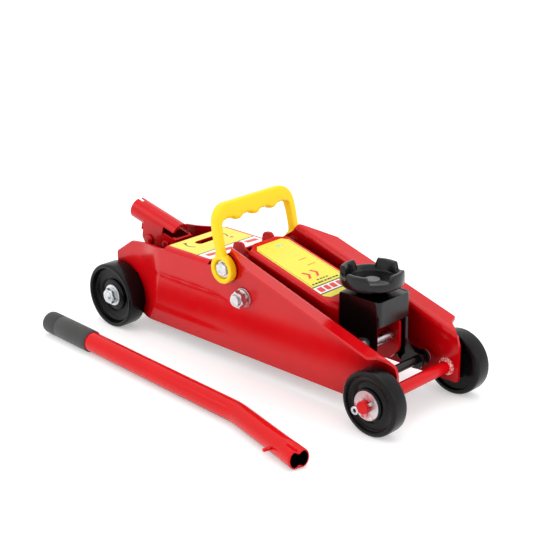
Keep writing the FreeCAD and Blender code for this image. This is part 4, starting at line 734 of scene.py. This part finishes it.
def lift_arm():
    turn = 4.5

    def place(x, t, w):
        """t runs across the top from the middle and on down a wall; w is outward."""
        out, up = fold(abs(t), arm_half(x) - 1.5 - turn, turn, w)
        return (x, math.copysign(out, t), arm_line(x) - 1.5 + up)

    def down(x, z):
        """The flat distance t at which the wall reaches height z."""
        return arm_half(x) - 1.5 - turn + turn * math.pi / 2 + arm_line(x) - 1.5 - turn - z

    right = [(189, 17, 3), (196, 27.5, 3), (196, down(196, 118), 2), (200, down(200, 80), 3),
             (236, down(236, 60), 20), (288, down(288, 52), 20), (327, down(327, 36), 10),
             (349, down(349, 38), 9), (361, down(361, 50), 9), (361, down(361, 82), 6), (352, down(352, 87), 3),
             (343, down(343, 84.5), 1), (343, 13, 2)]
    outline = rounded([(189, 0, 0)] + right + [(343, 0, 0)] + mirrored(right, 1), 4)
    holes = [circle(x, side * down(x, z), 6.1) for x, z in (ARM_PIVOT, BRACKET_PIN) for side in (-1, 1)]
    spots = []
    for x in range(192, 343, 4):
        flat = arm_half(x) - 1.5 - turn
        for k in range(7):
            t = flat + turn * math.pi / 2 * k / 6
            spots += [(x, t), (x, -t)]
    shape = Shape()
    shape.sheet(outline, holes, place, 3.0, 6.0, spots)
    ear = rounded([(177, 45.5, 8), (187, 40, 9), (197, 45.5, 8), (216, 62, 6), (224, 80, 8), (214, 110, 8),
                   (199, 119, 4), (181, 127, 6), (177, 132.6, 6), (165, 131.6, 8), (163, 118, 8),
                   (189, 85.5, 14)])
    ear_holes = [circle(*ARM_PIVOT, 6.1), circle(187.2, 50.2, 6.1)]
    for side in (-1, 1):
        def ear_place(u, v, w, side=side):
            swing = ease((v - 100) / 20) * ease((203 - u) / 14)
            return (u, side * (lerp(30.48, 22.2, swing) + w), v)
        shape.sheet(ear, ear_holes, ear_place, 2.96, 5.0)
    shape.piece("folded_arm", "lift_arm", ["lift_arm"], RED, 0.4, 38)


# ---------- rear cover and labels


def rear_cover():
    """A sheet whose two sides are turned down, with an oval slot."""
    turn, half, most = 5.0, 49.7, math.radians(72)
    flat = half - 1 - turn

    def place(x, t, w):
        out, up = fold(abs(t), flat, turn, w, most)
        return (x, math.copysign(out, t), 111 + up)

    edge = flat + turn * math.radians(66)
    outline = rounded([(80.5, -edge, 1), (150.5, -edge, 1), (150.5, edge, 1), (80.5, edge, 1)])
    slot = rounded([(94, -17, 5), (104, -17, 5), (104, 13, 5), (94, 13, 5)])
    spots = [(x, side * (flat + turn * most * k / 6)) for x in range(84, 150, 6)
             for k in range(7) for side in (-1, 1)]
    shape = Shape()
    shape.sheet(outline, [slot], place, 2.0, 7.0, spots)
    shape.piece("folded_cover", "chassis", ["rear_cover"], RED, 0.35, 38)


# Which of a label's materials a mark is printed in.
INK, WHITE, RED_INK, GREY_INK, BLUE_INK = range(1, 6)


def cover_label():
    def place(u, v, w):
        return (u, v, 112.06 + w)

    def arc(side, along, aside, order):
        """Points of a bent arrow's edge, on one side of the label."""
        bends = [math.radians(-60 + 10 * k) for k in order]
        return [(99 + along * math.sin(turn), side * (20 + aside * math.cos(turn)) - 2) for turn in bends]

    shape = Shape()
    slot = rounded([(93.6, -17.4, 5.2), (104.4, -17.4, 5.2), (104.4, 13.4, 5.2), (93.6, 13.4, 5.2)])
    film_edge = rounded([(81.3, -42, 1), (127.6, -42, 1), (127.6, 42, 1), (81.3, 42, 1)])
    shape.sheet(film_edge, [slot], place, 0.16, 7)
    shape.material = INK
    shape.prism([(127.6, -42), (129.0, -42), (129.0, 42), (127.6, 42)], place, -0.08, 0.14)
    for side in (-1, 1):
        shape.prism(arc(side, 10, 8.5, range(13)) + arc(side, 8.6, 7.1, range(12, -1, -1)), place, 0.08, 0.14)
        tip = [(90.4, side * 21.5 - 2), (93.6, side * 26.4 - 2), (88.6, side * 26.6 - 2)]
        shape.prism(tip, place, 0.08, 0.14)
    shape.material = WHITE
    band = rounded([(129.0, -42, 0), (148.5, -42, 1), (148.5, 42, 1), (129.0, 42, 0)])
    shape.prism(band, place, -0.08, 0.08)
    shape.material = RED_INK
    for y, wide in ((-30, 14), (-8, 18), (12, 10), (30, 16)):
        low, high = y - wide / 2, y + wide / 2
        bar = rounded([(133, low, 1.5), (140, low, 1.5), (142, high, 1.5), (135, high, 1.5)])
        shape.prism(bar, place, 0.08, 0.14)
    shape.prism(circle(112, 24, 2.2, 16), place, 0.08, 0.14)
    shape.piece("printed_cover_label", "chassis", ["cover_label"],
                [LABEL_YELLOW, LABEL_INK, LABEL_WHITE, LABEL_RED], 0.0, 30)


def arm_label():
    slope = math.atan(ARM_SLOPE)

    def place(u, v, w):
        """On the arm's top, with the near edge skewed outward toward the front."""
        v = v * (1 + 0.0009 * (u - 195)) if v < 0 else v
        return (u + w * math.sin(slope), v, ARM_TOP - ARM_SLOPE * (u - ARM_REAR) + 0.1 + w)

    def block(x0, x1, y0, y1, high=0.24):
        shape.prism([(x0, y0), (x1, y0), (x1, y1), (x0, y1)], place, 0.18, high)

    shape = Shape()
    half = 24.3
    corners = [(201.4, -half), (297.5, -half), (302.5, 5.0 - half), (302.5, half - 5.0), (297.5, half),
               (201.4, half), (195.4, half - 6.0), (195.4, 6.0 - half)]
    shape.prism(corners, place, 0.0, 0.18)
    shape.material = INK
    for y in (-22.4, 22.4):
        block(202, 282, y - 0.2, y + 0.2)
    for x in (281.2, 293.6):
        block(x, x + 1.5, -24.1, 24.1)
    for k in range(9):
        block(276.6, 278.6, -20 + k * 4.2, -17.2 + k * 4.2 + 0.5 * (k % 3))
    for k in range(4):
        block(272.2, 273.8, -9 + k * 4.2, -6.2 + k * 4.2 + 0.4 * (k % 2))
    shape.material = WHITE
    block(282.7, 293.6, -24.2, 24.2, 0.22)
    shape.material = RED_INK
    for y, wide in ((-18, 7), (-9.5, 6), (-1, 7), (8, 6), (17, 7)):
        low, high = y - wide / 2, y + wide / 2
        bar = rounded([(284.3, low, 1), (291.9, low, 1), (291.9, high, 1), (284.3, high, 1)])
        shape.prism(bar, place, 0.22, 0.27)
    for y in (-15, -4):
        chevron = [(268, y), (268, y + 3.4), (262, y + 7.6), (256, y + 3.4), (256, y), (262, y + 4.2)]
        shape.prism(chevron, place, 0.18, 0.24)
    for x, y0, y1 in ((236.0, 2, 13), (247.5, 3, 15)):
        block(x, x + 0.9, y0, y1)
    shape.material = GREY_INK
    for k in range(5):
        block(211 + k * 4.2, 211.7 + k * 4.2, -19, 15 - 3 * (k % 2), 0.22)
    for k in range(4):
        block(236 + k * 4.2, 236.6 + k * 4.2, -18, -2 - 4 * (k % 2), 0.22)
    shape.material = BLUE_INK
    block(203.5, 206, 1, 6.5)
    block(204, 206, 9, 12)
    shape.piece("printed_arm_label", "lift_arm", ["arm_label"],
                [LABEL_YELLOW, LABEL_INK, LABEL_WHITE, LABEL_RED, LABEL_GREY, LABEL_BLUE], 0.0, 30)


# ---------- loose pump bar

BAR_START = (-40.5, -122.4, 12.86)
BAR_TURN = Euler((0, math.radians(0.245), math.radians(-3)), "XYZ").to_matrix()
BEND_START, BEND_RADIUS, BEND_ANGLE = 317.5, 90.0, math.radians(11)
BEND_END = BEND_START + BEND_RADIUS * BEND_ANGLE
BAR_LENGTH = BEND_END + 105.0


def bar_point(along, across, up):
    """A point from the grip's end: along the bar's bent centre line, across it and up."""
    turn = min(max((along - BEND_START) / BEND_RADIUS, 0.0), BEND_ANGLE)
    foot = Vector((BEND_START + BEND_RADIUS * math.sin(turn), -BEND_RADIUS * (1 - math.cos(turn)), 0))
    straight = min(along - BEND_START, 0.0) + max(along - BEND_END, 0.0)
    foot += Vector((math.cos(turn), -math.sin(turn), 0)) * straight
    aside = Vector((math.sin(turn), math.cos(turn), 0))
    return Vector(BAR_START) + BAR_TURN @ (foot + aside * across + Vector((0, 0, up)))


def bar_section(along, radius, pinch=0.0, top=3.3, under=1.8):
    """A ring of the tube, dented from above and below by as much as it is pinched."""
    loop = []
    for turn in angles(48):
        c, s = math.cos(turn), math.sin(turn)
        dent = pinch * math.exp(-(c / 0.38) ** 2)
        s = math.copysign(abs(s) ** (1 - 0.1 * pinch), s)
        sunk = top if s > 0 else under
        loop.append(bar_point(along, radius * c * (1 + 0.03 * pinch), (radius - sunk * dent) * s))
    return loop


def pump_bar():
    end = BAR_LENGTH
    stops = [2.7, 60, 120, 180, 240, 300, BEND_START]
    stops += [BEND_START + BEND_RADIUS * BEND_ANGLE * k / 8 for k in range(1, 9)]
    stops += [350, 370, 385, end - 42]
    stops += [end - 42 + k * 2.0 for k in range(1, 20)]
    stops += [end - 1.2, end - 0.4, end]
    outer, inner = [], []
    for along in stops:
        pinch = ease((along - end + 27) / 17)
        ease_off = {end: 0.5, end - 0.4: 0.15}.get(along, 0.0)
        outer.append(bar_section(along, 11.0 - ease_off, pinch))
        inner.append(bar_section(along, 9.3 + ease_off * 0.6, pinch, top=4.4, under=3.6))
    shape = Shape()
    shape.loft([inner[0]] + outer + [inner[-1]], ends=False)
    shape.material = 1
    shape.loft(inner, ends=False)
    shape.piece("bent_bar", "pump_bar", ["pump_bar"], [BAR_RED, BLACK], 0.0, 50)

    shape = Shape()
    profile = [(0.0, 0.0), (4.5, 0.05), (8.2, 0.35), (10.6, 1.4), (12.0, 3.2), (12.45, 5.6), (12.5, 9),
               (12.5, 24), (12.2, 24.7), (12.2, 25.6), (12.5, 26.3), (12.5, 78), (12.35, 82.8), (12.0, 84),
               (11.06, 84.2), (11.06, 2.5), (0.0, 2.5)]
    shape.loft([bar_section(along, max(radius, 0.01)) for radius, along in profile])
    shape.piece("bar_sleeve", "pump_bar", ["bar_grip"], GRIP, 0.0, 45)

    shape = Shape()
    foot = bar_point(BAR_LENGTH - 32.5, -10.6, 0)
    out = bar_point(BAR_LENGTH - 32.5, -19.0, 0) - foot
    far = out.length
    shape.lathe([(0, 0), (1.85, 0), (1.85, far - 0.5), (1.4, far), (0, far)], foot, out, 20)
    shape.piece("bar_catch", "pump_bar", ["bar_pin"], BAR_RED, 0.0, 40)


# ---------- fasteners


def spoke(centre, side, angle, radius, far):
    """A point round a sideways axis: radius away from it, and far out from the centre along it."""
    return (centre[0] + radius * math.cos(angle), centre[1] + side * far, centre[2] + radius * math.sin(angle))


def washer(shape, centre, side, inner, outer, thick):
    edge = 0.25
    shape.lathe([(inner, 0), (outer - edge, 0), (outer, edge), (outer, thick - edge), (outer - edge, thick),
                 (inner, thick)], centre, (0, side, 0), 48)


def hex_nut(shape, centre, side, flats, thick, bore, turn=0.0):
    """A nut or bolt head: six sides whose corners a cone cuts back at the outer end."""
    corner = flats / 2 / math.cos(math.radians(30))
    rows = []
    for share, cone in ((0.0, corner), (0.02, corner), (0.72, corner), (0.86, corner * 0.985),
                        (1.0, flats / 2 * 0.96)):
        row = []
        for angle in angles(72):
            sector = (angle + math.radians(turn)) % math.radians(60) - math.radians(30)
            radius = min(flats / 2 / math.cos(sector), cone)
            drop = 0.0
            if share == 0.72:
                drop = -0.10 * thick * (radius - flats / 2) / (corner - flats / 2)
            far = (share + drop / max(thick, 1)) * thick
            row.append(spoke(centre, side, angle, radius, far))
        rows.append(row)
    inner = ((flats * 0.3, thick), (flats * 0.15, thick))
    if bore:
        inner = ((bore + 0.5, thick), (bore, thick - 0.6), (bore, 0.0))
    rows += [[spoke(centre, side, angle, radius, far) for angle in angles(72)] for radius, far in inner]
    shape.loft(rows + [rows[0]] if bore else rows, ends=not bore)


def spring_washer(shape, centre, side, inner, outer, thick):
    """A split ring whose two ends stand a little apart."""
    rows = []
    count = 60
    for i in range(count + 1):
        angle = math.radians(20 + 334 * i / count)
        lift = 0.5 * i / count
        rows.append([spoke(centre, side, angle, radius, lift + y)
                     for radius, y in ((inner, 0), (outer, 0), (outer, thick), (inner, thick))])
    shape.loft(rows)


def fasteners():
    nuts, spring, flat = Shape(), Shape(), Shape()
    rear_heads, rear_flat, front_flat, hinge = Shape(), Shape(), Shape(), Shape()
    for side in (-1, 1):
        hex_nut(nuts, beside(ARM_PIVOT, side * 53.3), side, 16.5, 8.0, 6.05, 12)
        spring_washer(spring, beside(ARM_PIVOT, side * 51.45), side, 6.1, 9.9, 1.9)
        washer(flat, beside(ARM_PIVOT, side * 49.75), side, 6.1, 10.6, 1.6)
        washer(front_flat, beside(FRONT_WHEEL, side * 75.8), side, 6.6, 15, 1.8)
        washer(rear_flat, beside(REAR_WHEEL, side * 60.0), side, 5.1, 12.4, 1.8)
        hex_nut(rear_heads, beside(REAR_WHEEL, side * 61.85), side, 16.6, 6.2, 0, 8)
        rear_heads.lathe([(0, 1.4), (2.4, 1.4), (4.2, 1.0), (5.0, 0.2), (5.0, -32), (0, -32)],
                         beside(REAR_WHEEL, side * 68.0), (0, side, 0), 40)
        washer(hinge, beside(HANDLE_HINGE, side * 55.0), side, 5.05, 9.2, 1.2)
        hex_nut(hinge, beside(HANDLE_HINGE, side * 56.2), side, 14, 3.2, 0, 22)
        hinge.lathe([(0, 1.1), (2.6, 0.9), (4.4, 0.3), (5.0, -0.6), (5.0, -20), (0, -20)],
                    beside(HANDLE_HINGE, side * 59.0), (0, side, 0), 40)
    for shape, name, node, material, bevel in (
            (nuts, "pivot_nuts", "arm_pivot_nuts", ZINC, 0.25),
            (spring, "pivot_spring_washers", "arm_pivot_spring_washers", OVERSPRAYED, 0.2),
            (flat, "pivot_washers", "arm_pivot_washers", OVERSPRAYED, 0.0),
            (front_flat, "axle_washers", "front_wheel_washers", OVERSPRAYED, 0.0),
            (rear_flat, "rear_washers", "rear_wheel_washers", ZINC, 0.0),
            (rear_heads, "rear_bolts", "rear_wheel_bolts", ZINC, 0.2),
            (hinge, "hinge_bolts", "handle_bolts", ZINC, 0.2)):
        shape.piece(name, "chassis", [node], material, bevel, 35)


def round_head(shape, centre, side, radius, tall, shank):
    """A round head outside the socket's cheek, on a shank that runs in to the middle."""
    profile = [(0, tall), (radius * 0.7, tall), (radius * 0.93, tall * 0.82), (radius, tall * 0.5), (radius, 0),
               (shank, 0), (shank, -12.9), (0, -12.9)]
    shape.lathe(profile, beside(centre, side * 12.95), (0, side, 0), 40)


def pump_pins():
    """The two pins across the pump socket's cheeks, painted over with the rest of the socket."""
    pivot, push = Shape(), Shape()
    for side in (-1, 1):
        round_head(pivot, SOCKET_PIVOT, side, 5.6, 2.2, 4.0)
        round_head(push, PUSH_PIN, side, 6.5, 2.7, 3.5)
    pivot.piece("pivot_pin_heads", "chassis", ["socket_pivot_screw"], RED, 0.2, 35)
    push.piece("push_pin_heads", "plunger", ["plunger_pin"], RED, 0.2, 35)


def socket_tabs():
    """Tabs bent round the front of the socket's cheeks, under a narrow gap."""
    tilt = Matrix.Rotation(math.radians(13), 3, "Y")
    pivot = Vector(beside(SOCKET_PIVOT, 0))
    shape = Shape()
    for side in (-1, 1):
        flank = rounded([(-7.5, 4, 1), (-7.5, 12.6, 2.2), (11.6, 12.6, 2.2), (13.2, 10.6, 1), (13.2, 4, 1)])
        shape.prism(flank, lambda u, v, w, side=side: pivot + tilt @ Vector((u, side * w, v)), 11.3, 12.95)
    front = rounded([(-12.9, 2.4, 0.8), (12.9, 2.4, 0.8), (12.9, 12.6, 2.2), (-12.9, 12.6, 2.2)])
    shape.prism(front, lambda u, v, w: pivot + tilt @ Vector((w, u, v)), 11.5, 13.3)
    shape.piece("socket_tabs", "handle_socket", [], RED, 0.4, 35)


def plugs():
    """Turned plugs that close the pump bore and the oil tank."""
    for name, node, x, y, seat, top, radius in (("pump_plug", "pump_cap", 71.5, 10, 78.1, 106.0, 4.6),
                                                ("tank_plug", "filler_plug", 97, 0, 98.1, 105.0, 6.0)):
        shape = Shape()
        tall = top - seat
        shape.lathe([(0, tall), (radius * 0.45, tall), (radius * 0.8, tall - 0.5), (radius, tall - 1.6),
                     (radius, tall - 4.6), (radius * 0.82, tall - 5.2), (radius * 0.82, 2.2),
                     (radius * 1.05, 1.6), (radius * 1.05, 0), (0, 0)], (x, y, seat), (0, 0, 1), 40)
        shape.piece(name, "chassis", [node], ZINC, 0.0, 35)


# ---------- springs


def coil(shape, start, axis, radius, wire, length, turns, tail=0.0):
    """A wire wound round an axis, with a straight tail at each end where one is given."""
    along = Vector(axis)
    side = along.orthogonal().normalized()
    up = along.cross(side)
    middle = Vector(start)
    steps = int(turns * 20)
    rows = []
    for i in range(steps + 1):
        turn = 2 * math.pi * turns * i / steps
        out = side * math.cos(turn) + up * math.sin(turn)
        ahead = (up * math.cos(turn) - side * math.sin(turn)) * radius + along * length / (turns * 2 * math.pi)
        binormal = out.cross(ahead.normalized())
        centre = middle + out * radius + along * (tail + length * i / steps)
        rows.append([centre + (out * math.cos(math.pi * k / 4) + binormal * math.sin(math.pi * k / 4)) * wire
                     for k in range(8)])
    shape.loft(rows)
    for base, far in ((tail, 0.0), (tail + length, 2 * tail + length)):
        if tail:
            shape.lathe([(0, 0), (wire, 0), (wire, abs(far - base)), (0, abs(far - base))],
                        middle + along * base, along * (far - base), 10)


def springs():
    back = Shape()
    for side in (-1, 1):
        coil(back, (73.5, side * 21.4, 50.2), (1, 0, 0), 3.0, 0.6, 94.0, 34, 6.0)
    back.piece("coiled_return_springs", None, ["return_springs"], STEEL, 0.0, 60)
    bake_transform(bpy.data.objects["coiled_return_springs"])
    push = Shape()
    coil(push, (13, 0, 80.8), (0, 0, 1), 6.6, 0.6, 8.2, 3)
    push.piece("coiled_plunger_spring", None, ["plunger_spring"], STEEL, 0.0, 60)
    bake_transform(bpy.data.objects["coiled_plunger_spring"])


# ---------- welds


def weld_beads():
    """Lumpy beads round both ends of the front axle, with spatter on them."""
    axle = 6.52
    shape = Shape()
    for side in (-1, 1):
        rows = []
        for turn in angles(72):
            throat = 3.0 + (0.35 * math.sin(turn * 17) + 0.25 * math.sin(turn * 9 + 1))
            section = [(axle, 0.0)]
            for k in range(8, -1, -1):
                swing = math.pi / 2 * k / 8
                section.append((axle + throat * (1 - math.sin(swing)), throat * (1 - math.cos(swing))))
            rows.append([spoke(beside(FRONT_WHEEL, 0), side, turn, radius, 46.6 - inward)
                         for radius, inward in reversed(section)])
        shape.loft(rows + [rows[0]], ends=False)
    shape.piece("axle_weld_beads", "chassis", ["axle_welds"], SPATTERED, 0.0, 60)


# ---------- floor, lights and camera


DAYLIGHT, FLOOR_TONE, FLOOR_GLOW, FLOOR_HALF = 1.12, 0.76, 0.36, 6.0
EYE, EYE_TURN, LENS = (1163.81, -970.55, 608.5), (69.789, 1.0372, 44.6986), 92.244


def studio():
    """White surroundings, three soft lamps and the camera."""
    scene = bpy.context.scene
    scene.view_settings.view_transform = "Standard"
    world = bpy.data.worlds.new("studio")
    world.use_nodes = True
    light_in = world.node_tree.nodes["Background"].inputs
    light_in[0].default_value = (1, 1, 1, 1)
    light_in[1].default_value = DAYLIGHT
    scene.world = world

    mesh = bpy.data.meshes.new("floor")
    corners = [(x * FLOOR_HALF, y * FLOOR_HALF, 0) for x, y in ((-1, -1), (1, -1), (1, 1), (-1, 1))]
    mesh.from_pydata(corners, [], [(0, 1, 2, 3)])
    floor = bpy.data.objects.new("floor", mesh)
    scene.collection.objects.link(floor)
    g = Graph("floor")
    g.surface(Base_Color=(FLOOR_TONE, FLOOR_TONE, FLOOR_TONE, 1), Roughness=0.9, Specular_IOR_Level=0.05,
              Emission_Color=(1, 1, 1, 1), Emission_Strength=FLOOR_GLOW)
    mesh.materials.append(g.material)

    middle = at(195, 0, 60)

    def softbox(name, offset, size, watts):
        light = bpy.data.lights.new(name, "AREA")
        light.shape = "RECTANGLE"
        light.size, light.size_y = size
        light.energy = watts
        lamp = bpy.data.objects.new(name, light)
        lamp.location = middle + Vector(offset)
        lamp.rotation_euler = (-Vector(offset)).to_track_quat("-Z", "Y").to_euler()
        scene.collection.objects.link(lamp)

    softbox("overhead", (0.1, 0.2, 1.6), (2.0, 1.4), 7)
    softbox("key", (-0.9, -1.2, 1.1), (0.9, 0.9), 3)
    softbox("side", (1.5, 0.3, 0.7), (0.8, 1.0), 2)

    camera = bpy.data.cameras.new("camera")
    camera.lens = LENS
    camera.sensor_width = 36
    eye = bpy.data.objects.new("camera", camera)
    eye.location = at(*EYE)
    eye.rotation_euler = Euler([math.radians(a) for a in EYE_TURN])
    scene.collection.objects.link(eye)
    scene.camera = eye


for build in (studio, side_plates, wheels, carry_handle, saddle, saddle_bracket, lift_arm, rear_cover,
              cover_label, arm_label, pump_bar, fasteners, pump_pins, socket_tabs, plugs, springs, weld_beads):
    build()

SOFT_EDGES = {
    0.3: ("handle_socket", "handle_nuts", "rear_wheel_nuts"),
    0.4: ("tie_link_left", "tie_link_right", "bracket_pin", "link_pin", "crank_pin"),
    0.5: ("tie_studs", "front_axle", "arm_pivot_shaft"),
    0.6: ("ram_head",),
    0.8: ("hydraulic_block",),
    1.0: ("oil_tank",),
}
for width, names in SOFT_EDGES.items():
    for name in names:
        soften(nodes[name], width)
